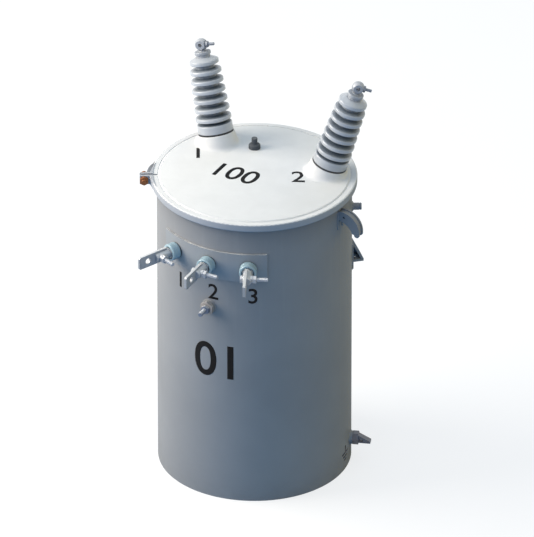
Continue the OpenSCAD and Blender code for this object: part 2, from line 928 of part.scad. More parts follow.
module lifting_lug(side) {
  color("slategray")
    difference() {
      upright(side * lug_angle, lug_w)
        lug_outline(0);
      upright(side * lug_angle, lug_w - 2 * lug_t) {
        lug_outline(lug_recess + lug_web_t);
        difference() {
          lug_outline(-lug_recess);
          lug_outline(lug_recess);
        }
      }
      tank_space();
      upright(side * lug_angle, 2 * lug_w)
        translate([tank_r + lug_hole_out, lid_edge - lug_down - lug_hole_down])
          circle(d = lug_hole_d);
    }
}

module relief_valve() {
  color("darkslategray")
    difference() {
      radial(valve_angle, valve_z, tank_r - wall_t)
        rotate_extrude()
          polygon([
            [0, 0], [valve_foot_d / 2, 0], [valve_foot_d / 2, wall_t + valve_foot_out],
            [valve_d / 2, wall_t + valve_foot_out], [valve_d / 2, wall_t + valve_out - valve_chamfer],
            [valve_d / 2 - valve_chamfer, wall_t + valve_out], [0, wall_t + valve_out]
          ]);
      tank_space();
    }
}

// The bracket's outer outline, from the wall over the brace to the shelf
module bracket_outline() {
  polygon([
    [tank_r, bracket_low], [bracket_end, bracket_low], [bracket_end, bracket_low + bracket_t],
    [backing_r, bracket_low + bracket_h], [tank_r, bracket_low + bracket_h]
  ]);
}

module arrester_bracket(side) {
  angle = side * bracket_angle;
  inner_h = bracket_h - bracket_t * bracket_h / bracket_out;
  color("slategray")
    union() {
      wrapped(angle, backing_half_angle, bracket_low, bracket_h, backing_t);
      difference() {
        upright(angle, bracket_w)
          bracket_outline();
        rotate([0, 0, angle])
          translate([-side * bracket_web_t, 0, 0])
            rotate([0, 0, -angle])
              upright(angle, bracket_w)
                polygon([
                  [backing_r, bracket_low + bracket_t],
                  [bracket_end - bracket_t, bracket_low + bracket_t],
                  [backing_r, bracket_low + inner_h]
                ]);
        tank_space();
        rotate([0, 0, angle])
          translate([0, -backing_r - bracket_out * 2 / 5, bracket_low - eps])
            cylinder(h = bracket_t + 2 * eps, d = bracket_hole_d);
      }
    }
}

module hanger(middle) {
  low = middle - hanger_h / 2;
  cheek = hanger_h * hanger_cheek_share;
  color("slategray")
    union() {
      wrapped(180, hanger_backing_half_angle, low, hanger_h, backing_t);
      difference() {
        for (side = [-1, 1])
          rotate([0, 0, 180])
            translate([side * (hanger_w - hanger_t) / 2, 0, 0])
              rotate([0, 0, -180])
                upright(180, hanger_t)
                  polygon([
                    [0, low], [backing_r, low],
                    [hanger_face, middle - cheek / 2], [hanger_face, middle + cheek / 2],
                    [backing_r, low + hanger_h], [0, low + hanger_h]
                  ]);
        tank_space();
      }
      radial(180, middle, hanger_face - hanger_t)
        linear_extrude(height = hanger_t)
          difference() {
            translate([-hanger_w / 2, -hanger_h / 2])
              square([hanger_w, hanger_h]);
            for (end = [-1, 1])
              translate([0, end * (slot_len - slot_w) / 2])
                circle(d = slot_w);
            translate([-slot_w / 2, -(slot_len - slot_w) / 2])
              square([slot_w, slot_len - slot_w]);
          }
    }
}

module earth_boss() {
  color("slategray")
    difference() {
      radial(earth_angle, earth_up, tank_r - wall_t)
        cylinder(h = earth_boss_len + wall_t, d = earth_boss_d);
      tank_space();
    }
}

module earth_clamp() {
  color("silver")
    radial(earth_angle, earth_up, earth_seat)
      union() {
        hex(earth_hex_w, earth_hex_h);
        translate([0, -earth_tongue_h / 2, earth_hex_h])
          rotate([0, -90, 0])
            linear_extrude(height = earth_tongue_w, center = true)
              difference() {
                polygon([
                  [0, 0], [earth_tongue_len, 0], [earth_tongue_len, earth_tip_h], [0, earth_tongue_h]
                ]);
                translate([earth_hole_in, earth_hole_in])
                  circle(d = earth_hole_d);
              }
      }
}

tank_wall();
tank_floor();
lid_gasket();
lid();
clamp_band();
clamp_bolt();
clamp_nut();
lid_plug();
hv_gasket(-1);  // hv_gasket_left
hv_gasket(1);  // hv_gasket_right
hv_bushing(-1);  // hv_bushing_left
hv_bushing(1);  // hv_bushing_right
hv_cap(-1);  // hv_cap_left
hv_cap(1);  // hv_cap_right
hv_terminal(-1);  // hv_terminal_left
hv_terminal(1);  // hv_terminal_right
hv_eye_bolt(-1);  // hv_eye_bolt_left
hv_eye_bolt(1);  // hv_eye_bolt_right
lv_panel();
lv_gasket(-1);  // lv_gasket_1
lv_gasket(0);  // lv_gasket_2
lv_gasket(1);  // lv_gasket_3
lv_bushing(-1);  // lv_bushing_1
lv_bushing(0);  // lv_bushing_2
lv_bushing(1);  // lv_bushing_3
lv_stud(-1);  // lv_stud_1
lv_stud(0);  // lv_stud_2
lv_stud(1);  // lv_stud_3
lv_terminal(-1);  // lv_terminal_1
lv_terminal(0);  // lv_terminal_2
lv_terminal(1);  // lv_terminal_3
lv_bolt(-1);  // lv_bolt_1
lv_bolt(0);  // lv_bolt_2
lv_bolt(1);  // lv_bolt_3
neutral_boss();
neutral_clamp();
lifting_lug(-1);  // lifting_lug_left
lifting_lug(1);  // lifting_lug_right
relief_valve();
arrester_bracket(-1);  // arrester_bracket_left
arrester_bracket(1);  // arrester_bracket_right
hanger(hanger_top_z);  // hanger_upper
hanger(hanger_low_z);  // hanger_lower
earth_boss();
earth_clamp();
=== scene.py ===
"""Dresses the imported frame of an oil-filled pole transformer: finishes, hardware, welds, numbers
and a studio.

Metres, +Z up, the floor at z = 0. Angles are counted from the low-voltage side (-Y), positive
towards +X.
"""

import math

import bmesh
import bpy
from mathutils import Matrix, Vector


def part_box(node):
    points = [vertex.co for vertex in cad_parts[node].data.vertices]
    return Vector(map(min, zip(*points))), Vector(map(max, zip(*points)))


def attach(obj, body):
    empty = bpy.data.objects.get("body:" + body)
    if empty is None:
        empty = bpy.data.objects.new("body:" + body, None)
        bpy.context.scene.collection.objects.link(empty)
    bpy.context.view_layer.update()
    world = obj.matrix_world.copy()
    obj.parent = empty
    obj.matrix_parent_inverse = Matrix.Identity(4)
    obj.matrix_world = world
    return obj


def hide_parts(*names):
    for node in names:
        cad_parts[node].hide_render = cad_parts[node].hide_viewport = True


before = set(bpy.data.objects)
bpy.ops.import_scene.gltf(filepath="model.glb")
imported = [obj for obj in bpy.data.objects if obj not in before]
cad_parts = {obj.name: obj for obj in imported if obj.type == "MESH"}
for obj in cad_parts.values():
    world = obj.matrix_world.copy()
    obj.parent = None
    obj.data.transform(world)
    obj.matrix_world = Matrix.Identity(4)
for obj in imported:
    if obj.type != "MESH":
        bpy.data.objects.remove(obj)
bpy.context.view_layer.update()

bl_info = {
    "name": "Pole transformer",
    "version": (1, 0, 0),
    "blender": (4, 5, 0),
    "location": "View3D > Sidebar > Transformer",
    "description": "Finishes, hardware, welds and painted numbers for a pole transformer",
    "category": "Object",
}

MM = 0.001
BODY = "root"
SIDES = {"left": -1, "right": 1}
HANGERS = ("upper", "lower")


def middle(node):
    """The middle of a node's box."""
    low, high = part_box(node)
    return (low + high) / 2


def span(node):
    """The lowest and the highest z of a node."""
    low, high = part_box(node)
    return low.z, high.z


# Tank and lid, from the frame
WALL = 3 * MM
TANK_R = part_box("tank_floor")[1].x + WALL
FLANGE_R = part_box("lid_gasket")[1].x
TANK_H, LID_LOW = span("lid_gasket")
LID_SHEET = 3 * MM
LID_EDGE = LID_LOW + LID_SHEET
LID_STEP = 4.5 * MM
LID_PAINT = LID_EDGE + 2 * MM
PANEL_TOP = LID_EDGE + LID_STEP
PANEL_R = FLANGE_R - 14 * MM
PANEL_BEND = 2 * MM
SLOPE_R = PANEL_R + 3 * MM
DOME = 6 * MM
DOME_R = (PANEL_R**2 + DOME**2) / (2 * DOME)
CENTRE_R = 2 * MM

# Plug on the lid
PLUG_ANGLE = math.radians(-151)
PLUG_POS = TANK_R - 112 * MM
PLUG_SUNK, PLUG_STEM = 1 * MM, 15 * MM
PLUG_FOOT_R, PLUG_FLANGE_R, PLUG_NECK_R, PLUG_STEM_R = 11 * MM, 13 * MM, 7.5 * MM, 6.5 * MM

# Clamp band
BAND_LOW = TANK_H - 8 * MM
BAND_HIGH = LID_EDGE + 3 * MM
BAND_IN = FLANGE_R + 0.5 * MM
BAND_R = BAND_IN + 3 * MM
BAND_EDGE = 0.8 * MM
LIP_R = BAND_IN - 10.1 * MM
BAND_ANGLE = math.radians(-60)
BAND_SPLIT = 6 * MM
EAR_THICK = 5 * MM
DRAW_OUT = 16.5 * MM
DRAW_D, DRAW_PITCH = 11 * MM, 1.75 * MM
DRAW_FLATS, DRAW_HEAD = DRAW_D * 5 / 3, DRAW_D * 2 / 3

# High-voltage bushings, along their leaning axes
HV_ANGLE = math.radians(120)
HV_LEAN = math.radians(18)
HV_POS = TANK_R - 50 * MM
SEAT_Z = LID_EDGE + 26.5 * MM
SEAT_R, SEAT_HOLE_R, FOOT_R, BOSS_LEN = 41 * MM, 25.5 * MM, 48 * MM, 45 * MM
FILLET_ROOM, FILLET_LEAST, FILLET_SUNK, FILLET_LIFT = 0.4 * MM, 1.5 * MM, 2 * MM, 0.05 * MM
HV_GASKET = 4 * MM
COLLAR_R, COLLAR_TOP = 39.5 * MM, 22.5 * MM
CORE_R, SHANK_R, SHANK_LEN = 20.5 * MM, 24 * MM, 60 * MM
SHEDS, SHED_FIRST, SHED_PITCH, SHED_RIM = 7, 34.65 * MM, 21.4 * MM, 9 * MM
SHED_LOW_R, SHED_HIGH_R, SHED_TOP_R = 40 * MM, 35.25 * MM, 32.5 * MM
SHED_HOLLOW, SHED_RISE, SHED_ROOT = 2 * MM, 4 * MM, 2.5 * MM
CROWN_R = 18 * MM
CROWN_TOP = SHED_FIRST + (SHEDS - 1) * SHED_PITCH + SHED_RIM / 2 + 7 * MM
CAP_NECK = CROWN_TOP + 6 * MM
CAP_TOP = CAP_NECK + 7 * MM
CAP_PAD = CAP_TOP + 1.5 * MM
CAP_BORE_R, CAP_NECK_R, CAP_R = 3 * MM, 15.5 * MM, 18 * MM
PAD_FOOT_R, PAD_TOP_R = 9 * MM, 8 * MM
EYE_MID = CAP_TOP + 15 * MM
EYE_R, EYE_EDGE = 14 * MM, 1.1 * MM
EYE_FACE = EYE_R - 3.5 * MM
EYE_TURN = {"left": math.radians(-142), "right": 0.0}
EYE_WASHER_BORE, EYE_WASHER_R, EYE_WASHER = 3.6 * MM, 7 * MM, EYE_FACE + 1.2 * MM
EYE_FLATS, EYE_NUT = 13 * MM, EYE_FACE + 6 * MM
EYE_SCREW, EYE_PITCH, EYE_INNER, EYE_OUTER = 7 * MM, 1.0 * MM, 4.8 * MM, EYE_FACE + 20 * MM

# Low-voltage bushings, along their radial axes
LV_Z = middle("lv_panel").z
LV_TURN = math.radians(1.5)
LV_STEP = math.radians(24)
LV_ANGLES = {k: LV_TURN + (k - 2) * LV_STEP for k in (1, 2, 3)}
PANEL_OUT = TANK_R + 4 * MM
LV_SEAT = PANEL_OUT + 2.5 * MM
LV_FACE = LV_SEAT + 19.5 * MM
LV_R, LV_RECESS_R, LV_GROOVE_R = 19.25 * MM, 14 * MM, 19.25 * MM - 0.4 * MM
LV_BORE_R, LV_SHANK_R, LV_SHANK = 7 * MM, 14 * MM, 40 * MM
LV_GROOVE_EDGE = 0.3 * MM
STUD_SEAT = LV_FACE - 5 * MM
HUB_FACE = STUD_SEAT + 6 * MM
STUD_FLATS, STUD_D, STUD_PITCH = 22 * MM, 13 * MM, 1.75 * MM
STUD_INNER, STUD_OUTER = -53 * MM, HUB_FACE - STUD_SEAT + 12 * MM
CLAMP_R = HUB_FACE + 23 * MM
HEAD_OUT, NUT_OUT = 10.5 * MM, 11.5 * MM
CLAMP_FLATS, CLAMP_HEAD, CLAMP_NUT = 16 * MM, 5 * MM, NUT_OUT + 9 * MM
CLAMP_WASHER_BORE, CLAMP_WASHER_R, CLAMP_WASHER = 5 * MM, 9 * MM, NUT_OUT + 1.6 * MM
CLAMP_D, CLAMP_PITCH = 9.5 * MM, 1.25 * MM
CLAMP_INNER, CLAMP_OUTER = -HEAD_OUT - 1 * MM, NUT_OUT + 34.5 * MM

# Fittings on the wall
NEUTRAL_Z = middle("neutral_clamp").z
NEUTRAL_SEAT = TANK_R + 7 * MM
NEUTRAL_FLATS, NEUTRAL_PLATE = 29 * MM, 8 * MM
NEUTRAL_NUT_FLATS, NEUTRAL_NUT = 18 * MM, 15.5 * MM
NEUTRAL_D, NEUTRAL_PITCH, NEUTRAL_INNER, NEUTRAL_OUTER = 10 * MM, 1.5 * MM, 7 * MM, 37.5 * MM
EARTH_ANGLE = math.radians(110)
EARTH_Z = middle("earth_clamp").z
EARTH_EDGE = 1.0 * MM
VALVE_ANGLE = math.radians(120)
VALVE_Z = middle("relief_valve").z
VALVE_R, VALVE_GROOVE_R, VALVE_END = 8 * MM, 8 * MM - 0.7 * MM, 21 * MM
VALVE_BORE_R, VALVE_FOOT_R, VALVE_FOOT, VALVE_SUNK = 4 * MM, 9.5 * MM, 3 * MM, -1 * MM
LUG_ANGLE, LUG_HALF = math.radians(90), 9.5 * MM
BRACKET_ANGLE, BRACKET_HALF = math.radians(134), math.radians(12)
HANGER_ANGLE, HANGER_HALF = math.pi, math.radians(15)

# Weld beads, with the distance of each from the tank axis
PLATE_WELD, LUG_WELD, RING_WELD = TANK_R + 1 * MM, TANK_R + 0.5 * MM, TANK_R + 0.3 * MM
LUG_WELD_LOW, LUG_WELD_HIGH, LUG_WELD_ASIDE = 46 * MM, 2 * MM, 0.3
BOSS_RING_R, VALVE_RING_R, RING_SHARE, RING_STEPS = 15.4 * MM, 9.8 * MM, 0.8, 90
WELD_STEP, WELD_LEAST = 1.1 * MM, 8
SEAM_ANGLE, SEAM_R, SEAM_WELD = math.radians(-158), 3.2 * MM, TANK_R - 1.3 * MM
SEAM_LOW, SEAM_HIGH = 2 * MM, TANK_H - 7 * MM
BEAD_SIDES, BEAD_FLAT, BEAD_RIPPLE = 8, 0.75, 0.13
BEAD_UNEVEN, BEAD_WAVE, BEAD_END, BEAD_GROWTH = 0.05, 1900, 0.35, 0.3

# Nuts and threads, as shares of the width or the pitch
HEX_STEPS, HEX_FACE, HEX_SLOPE = 60, 0.475, math.tan(math.radians(25))
THREAD_SIDES, THREAD_ROWS, THREAD_LEAST = 28, 8, 12
THREAD_DEEP, THREAD_TAPER, THREAD_END, THREAD_MOST = 0.30, 1.2, 0.9, 1.1

# Edges of meshes
ARC_STEPS = 6
SMOOTH, WELD_SMOOTH = 38.0, 60.0
MERGE, SLIVER = 1e-6, 0.01 * MM
FLAT_TURN, SHARP_TURN = math.radians(0.5), math.radians(30)

# Painted numbers and the earth sign
MARK_LIFT = 0.05 * MM
FIGURE_STEP = 3 * MM
LV_NUMBER_ASIDE, LV_NUMBER_Z = math.radians(2.6), LV_Z - 72 * MM
HV_NUMBERS = {"left": (math.radians(-95), 150 * MM), "right": (math.radians(105), 99 * MM)}
HV_NUMBER_TURN = math.radians(29)
LID_NUMBER_AT = (-26 * MM, -30 * MM)
UNIT_ANGLE, UNIT_Z = math.radians(4), 0.351
EARTH_SIGN_ANGLE, EARTH_SIGN_Z = math.radians(98.4), 39 * MM
SIGN_BARS, SIGN_COLUMNS = 3, 8
SIGN_STROKE, SIGN_STEP, SIGN_WIDE, SIGN_TALL = 4.5 * MM, 8.5 * MM, 34 * MM, 40 * MM
SIGN_STEM = SIGN_STEP * 2.2

# The photograph's frame, with the lid's middle in it
PHOTO_W, PHOTO_H = 534, 537
PHOTO_PX_PER_M = 454.65
PHOTO_LID_X, PHOTO_LID_Y = 254.5, 173.7

# Studio
SENSOR = 36.0
FLOOR_REACH = 9.0
LIGHTS_AIM = Vector((0, 0, TANK_H * 0.6))
KEY_AWAY, KEY_HIGH, KEY_BEHIND, KEY_SIZE = 2.6, 1.95, math.radians(4), 2.2
TOP_AT, TOP_SIZE = Vector((0, 0.2, 3.6)), 2.5
WHITE, BLACK = (1.0, 1.0, 1.0), (0.0, 0.0, 0.0)


def length(name, description, value):
    """A length that a user can change."""
    return bpy.props.FloatProperty(
        name=name, description=description, default=value, unit="LENGTH"
    )


def amount(name, description, value, subtype):
    """An angle, a power or a share that a user can change."""
    return bpy.props.FloatProperty(
        name=name, description=description, default=value, subtype=subtype
    )


def colour(name, description, value):
    """A colour that a user can change."""
    return bpy.props.FloatVectorProperty(
        name=name, description=description, subtype="COLOR", size=3, min=0.0, max=1.0, default=value
    )


class TransformerSizes(bpy.types.PropertyGroup):
    """Sizes of the dressing that a user would change."""

    weld: length("Weld bead", "Radius of the weld beads on the tank", 2.4 * MM)
    ripple: length("Weld ripple", "Distance between the ripples of a weld", 3.2 * MM)
    boss_fillet: length("Boss fillet", "Reach of the pressed fillet round each lid boss", 9 * MM)
    edge: length("Plate edge", "Rounding of cut and painted plate edges", 0.9 * MM)
    panel_edge: length(
        "Panel edge", "Rounding of the panel under the low-voltage bushings", 2.2 * MM
    )
    cast_edge: length("Cast edge", "Rounding of the cast terminals", 1.6 * MM)
    number_height: length(
        "Terminal number", "Height of the numbers beside the terminals", 38 * MM
    )
    lid_number_height: length(
        "Bushing number", "Height of the numbers beside the bushings", 46 * MM
    )
    lid_figure_height: length("Lid number", "Height of the number on the lid", 56 * MM)
    number_bold: amount(
        "Number weight", "Stroke added to the numbers, as a share of their height", 0.010, "FACTOR"
    )
    unit_height: length("Unit number", "Height of the number on the tank", 86 * MM)
    paint_film: length("Paint film", "Thickness of the painted numbers", 0.25 * MM)


class TransformerColours(bpy.types.PropertyGroup):
    """Colours of the finishes, linear."""

    tank_paint: colour("Tank", "Enamel of the tank", (0.310, 0.307, 0.307))
    panel_paint: colour(
        "Panel", "Enamel of the panel under the low-voltage bushings", (0.322, 0.332, 0.343)
    )
    # Painted light: the lid enamel is set far paler than the tank's, which makes up part of the
    # brightness that light from above gives the lid
    lid_paint: colour("Lid", "Enamel of the lid", (0.730, 0.720, 0.700))
    band_paint: colour("Band", "Enamel of the clamp band", (0.410, 0.420, 0.440))
    gasket_rubber: colour("Gaskets", "Rubber of the gaskets on the lid", (0.018, 0.019, 0.022))
    lv_rubber: colour(
        "Low-voltage gaskets", "Rubber of the low-voltage gaskets", (0.045, 0.058, 0.064)
    )
    yellow_zinc: colour("Draw bolt", "Plating of the band's draw bolt", (0.245, 0.078, 0.015))
    dark_paint: colour("Plug", "Satin paint of the lid plug", (0.075, 0.083, 0.092))
    valve_paint: colour("Valve", "Satin paint of the relief valve", (0.27, 0.27, 0.29))
    porcelain: colour("Porcelain", "Glaze of the high-voltage bushings", (0.435, 0.455, 0.48))
    porcelain_cap: colour("Caps", "Cast metal of the bushing caps", (0.36, 0.38, 0.41))
    tinned_bronze: colour("Terminals", "Tin plating of the terminals", (0.37, 0.385, 0.41))
    eye_tin: colour(
        "Eyes", "Weathered tin of the eyes on the high-voltage bushings", (0.33, 0.35, 0.385)
    )
    eye_steel: colour("Eye bolts", "Weathered zinc of the eye bolts", (0.24, 0.26, 0.30))
    steel_bolt: colour("Bolts", "Zinc plating of the bolts", (0.40, 0.42, 0.46))
    lv_glaze: colour(
        "Low-voltage glaze", "Glaze of the low-voltage bushings", (0.315, 0.445, 0.495)
    )
    bronze: colour("Bronze", "Dull bronze of the neutral clamp", (0.33, 0.30, 0.28))
    blue_steel: colour("Neutral screw", "Blued steel of the neutral screw", (0.13, 0.165, 0.24))
    earth_bronze: colour(
        "Earth clamp", "Weathered bronze of the earth clamp", (0.122, 0.132, 0.156)
    )
    marking: colour("Numbers", "Paint of the numbers", (0.004, 0.004, 0.005))
    # Pale tone on the upper faces of plated metal: a bloom, and painted light from above
    bloom: colour("Bloom", "Pale bloom on the upper faces of plated metal", (0.80, 0.80, 0.79))
    dust: colour("Dust", "Dust on faces that look up", (0.60, 0.59, 0.56))
    grime: colour("Grime", "Dirt near the floor and in specks", (0.11, 0.10, 0.085))
    rust: colour("Rust", "Rust at bare spots", (0.16, 0.055, 0.02))


class TransformerStage(bpy.types.PropertyGroup):
    """The camera, the lights and the colours around the transformer."""

    azimuth: amount(
        "Azimuth", "Camera's angle to the right of the low-voltage side", math.radians(29), "ANGLE"
    )
    elevation: amount(
        "Elevation", "Camera's angle above the floor", math.radians(30.5), "ANGLE"
    )
    lens: amount("Lens", "Focal length of the long lens, in millimetres", 1000.0, "NONE")
    key: amount("Key light", "Power of the soft light on the left", 126.0, "POWER")
    top: amount("Top light", "Power of the soft light overhead", 10.0, "POWER")
    key_tint: colour("Key tint", "Colour of the soft light on the left", (1.0, 0.935, 0.84))
    left: colour("Left", "Surrounding light from the left", (0.63, 0.572, 0.522))
    front: colour("Front", "Surrounding light from the front and the back", (0.0, 0.30, 0.96))
    right: colour("Right", "Surrounding light from the right", (0.94, 0.70, 0.10))
    above: colour("Above", "Surrounding light from above", (0.50, 0.62, 0.73))
    bounce: colour("Bounce", "Colour that the floor throws back up", (0.11, 0.27, 0.45))
    floor_dark: colour("Dark floor", "Darker patches of the floor", (0.27, 0.27, 0.27))
    floor_pale: colour("Pale floor", "Paler patches of the floor", (0.30, 0.30, 0.30))
    floor_glow: colour("Floor glow", "Glow that makes the floor look white", (0.72, 0.72, 0.72))


def sizes():
    return bpy.context.scene.transformer_sizes


def colours():
    return bpy.context.scene.transformer_colours


def link(made):
    """Puts an object in the scene."""
    bpy.context.scene.collection.objects.link(made)


# Shader terms


class Term:
    """A socket of a node tree that stands in Python expressions, each of which adds its nodes."""

    def __init__(self, tree, socket=None):
        self.tree = tree
        self.socket = socket

    def node(self, kind, settings=None, sockets=None, output=0):
        """Adds a node of any type, with its settings and the values or links of its sockets."""
        made = self.tree.nodes.new(kind)
        for name, value in (settings or {}).items():
            setattr(made, name, value)
        for name, value in (sockets or {}).items():
            self.feed(value, made.inputs[name])
        return Term(self.tree, made.outputs[output] if len(made.outputs) else None)

    def feed(self, value, target):
        """Links a term to a socket, or sets a plain value on it."""
        if isinstance(value, Term):
            self.tree.links.new(value.socket, target)
        else:
            target.default_value = value

    def math(self, operation, *values):
        return self.node("ShaderNodeMath", {"operation": operation}, dict(enumerate(values)))

    def __add__(self, other):
        return self.math("ADD", self, other)

    def __sub__(self, other):
        return self.math("SUBTRACT", self, other)

    def __rsub__(self, other):
        return self.math("SUBTRACT", other, self)

    def __mul__(self, other):
        return self.math("MULTIPLY", self, other)

    __radd__ = __add__
    __rmul__ = __mul__

    def most(self, other):
        return self.math("MAXIMUM", self, other)

    def ramp(self, low, high, start=0.0, end=1.0):
        """A smooth step of this value from start at low to end at high."""
        return self.node(
            "ShaderNodeMapRange",
            {"interpolation_type": "SMOOTHSTEP"},
            {"Value": self, "From Min": low, "From Max": high, "To Min": start, "To Max": end},
        )

    def blend(self, first, second):
        """A colour between two others, by this factor."""
        sockets = {0: self, 6: first, 7: second}
        return self.node("ShaderNodeMix", {"data_type": "RGBA"}, sockets, output=2)

    def scaled(self, x, y, z):
        """This vector with its parts scaled."""
        sockets = {0: self, 1: (x, y, z)}
        return self.node("ShaderNodeVectorMath", {"operation": "MULTIPLY"}, sockets)

    def part(self, axis):
        """One part of this vector."""
        return self.node("ShaderNodeSeparateXYZ", sockets={"Vector": self}, output=axis)

    def along(self, direction):
        """This vector's length along a direction."""
        sockets = {0: self, 1: direction}
        return self.node(
            "ShaderNodeVectorMath", {"operation": "DOT_PRODUCT"}, sockets, output="Value"
        )

    def noise(self, scale, detail, roughness=0.55):
        """Noise at this place."""
        return self.node(
            "ShaderNodeTexNoise",
            sockets={"Vector": self, "Scale": scale, "Detail": detail, "Roughness": roughness},
        )

    def cells(self, scale):
        """Distance to the nearest of scattered points at this place."""
        sockets = {"Vector": self, "Scale": scale}
        return self.node("ShaderNodeTexVoronoi", {"feature": "F1"}, sockets, output="Distance")


def rgba(value):
    return (*value, 1.0)


def tinted(base, share):
    """A colour times a share, at most white."""
    return rgba(min(1.0, c * share) for c in base)


class Finish:
    """One material with its shader and the terms that most finishes start from."""

    def __init__(self, name):
        self.material = bpy.data.materials.new(name)
        self.material.use_nodes = True
        tree = self.material.node_tree
        self.shader = next(n for n in tree.nodes if n.type == "BSDF_PRINCIPLED")
        self.start = Term(tree)
        self.place = self.start.node("ShaderNodeTexCoord", output="Object")
        self.normal = self.start.node("ShaderNodeNewGeometry", output="Normal")
        self.up = self.normal.part("Z")
        self.height = self.place.part("Z")

    def set(self, **values):
        """Feeds sockets of the shader by their names, with _ for a blank."""
        for name, value in values.items():
            self.start.feed(value, self.shader.inputs[name.replace("_", " ")])

    def bump(self, height, distance, strength):
        """Raises the surface by a height, as far as the shading goes."""
        sockets = {"Strength": strength, "Distance": distance, "Height": height}
        self.set(Normal=self.start.node("ShaderNodeBump", sockets=sockets))

    def hollow(self, reach):
        """Near 1 on open faces and lower where the piece itself closes in, as in a groove."""
        settings = {"samples": 6, "only_local": True}
        return self.start.node(
            "ShaderNodeAmbientOcclusion", settings, {"Distance": reach}, output="AO"
        )

    def worn_edge(self, radius):
        """Near 1 on edges, from the angle between the true normal and one that is rounded off."""
        soft = self.start.node("ShaderNodeBevel", {"samples": 4}, {"Radius": radius})
        return soft.along(self.normal).ramp(0.97, 0.80)


# Heights over which the enamel darkens as painted shade under the clamp band
SHADE_LOW, SHADE_HIGH = LID_EDGE - 80 * MM, LID_EDGE - 15 * MM
# Tint of the painted shade in the bushings' grooves and under their sheds
GROOVE_SHADE_TINT = (0.16, 0.21, 0.26)
METAL_SHARE = 0.25


def enamel(name, base, gloss, dusty, chipped, shade=0.0):
    """Sprayed enamel: fine peel, rain streaks, specks, dust on top, grime near the floor, small
    chips on edges, and painted shade: a darker tone just under the clamp band."""
    shades = colours()
    f = Finish(name)
    patches = f.place.noise(5.5, 4.0)
    streaks = f.place.scaled(1.0, 1.0, 0.035).noise(95.0, 3.0)
    specks = f.place.cells(260.0).ramp(0.16, 0.06) * f.place.noise(38.0, 2.0).ramp(0.60, 0.70)
    dust = f.up.ramp(0.25, 0.95) * f.place.noise(46.0, 5.0).ramp(0.30, 0.75) * dusty
    streak = streaks.ramp(0.52, 0.80) * (1 - f.up.ramp(0.2, 0.6)) * f.height.ramp(0.05, 0.65)
    low = f.height.ramp(0.075, 0.0) * f.place.noise(30.0, 5.0).ramp(0.30, 0.72)
    chips = f.worn_edge(1.6 * MM) * f.place.noise(120.0, 4.0).ramp(0.60, 0.66) * chipped
    tone = patches.ramp(0.25, 0.75).blend(tinted(base, 0.95), tinted(base, 1.05))
    tone = (streak * 0.05).blend(tone, rgba(shades.dust))
    tone = dust.blend(tone, rgba(shades.dust))
    tone = (low * 0.07).blend(tone, rgba(shades.grime))
    # Painted shade: darker towards the top of the wall, where the clamp band's shadow falls
    tone = (f.height.ramp(SHADE_LOW, SHADE_HIGH) * shade).blend(tone, tinted(base, 0.15))
    tone = (specks * 0.30).blend(tone, rgba(shades.grime))
    tone = chips.blend(tone, rgba(shades.rust))
    rough = gloss + patches * 0.06 + dust * 0.35 + low * 0.30 + streak * 0.10 + chips * 0.4
    coat = (1 - dust.most(low).most(chips)) * 0.10
    f.set(Base_Color=tone, Roughness=rough, Coat_Weight=coat)
    f.set(Coat_Roughness=0.12, Specular_IOR_Level=0.0)
    peel = f.place.noise(520.0, 2.0) + f.place.noise(85.0, 2.0) * 1.5 - chips * 3.0
    f.bump(peel, 0.05 * MM, 0.5)
    return f.material


def glaze(name, base, dusty, coat):
    """Fired glaze: soft clouds and fine specks in the colour, painted shade in the grooves and
    under the sheds, and dust on the upper faces."""
    shades = colours()
    f = Finish(name)
    clouds = f.place.noise(28.0, 4.0)
    specks = f.place.cells(700.0).ramp(0.20, 0.08) * f.place.noise(90.0, 2.0).ramp(0.55, 0.68)
    dust = f.up.ramp(0.15, 0.9) * f.place.noise(70.0, 5.0).ramp(0.35, 0.75) * dusty
    under = (0 - f.up).ramp(0.2, 0.9)
    groove = f.hollow(20 * MM).ramp(0.90, 0.40)
    dark = rgba(c * share for c, share in zip(base, GROOVE_SHADE_TINT))
    tone = clouds.ramp(0.2, 0.8).blend(tinted(base, 0.93), tinted(base, 1.07))
    tone = (specks * 0.35).blend(tone, rgba(shades.grime))
    # Painted shade: faces that look down and faces deep in the grooves are darkened
    tone = (under.most(groove) * 0.85).blend(tone, dark)
    tone = (dust * (1 - groove)).blend(tone, rgba(shades.dust))
    f.set(Base_Color=tone, Roughness=clouds * 0.08 + dust * 0.35 + groove * 0.25 + 0.16)
    f.set(Coat_Weight=(1 - dust.most(groove)) * coat, Coat_Roughness=0.08, IOR=1.50)
    f.bump(f.place.noise(160.0, 2.0) + specks * 0.6, 0.06 * MM, 0.6)
    return f.material


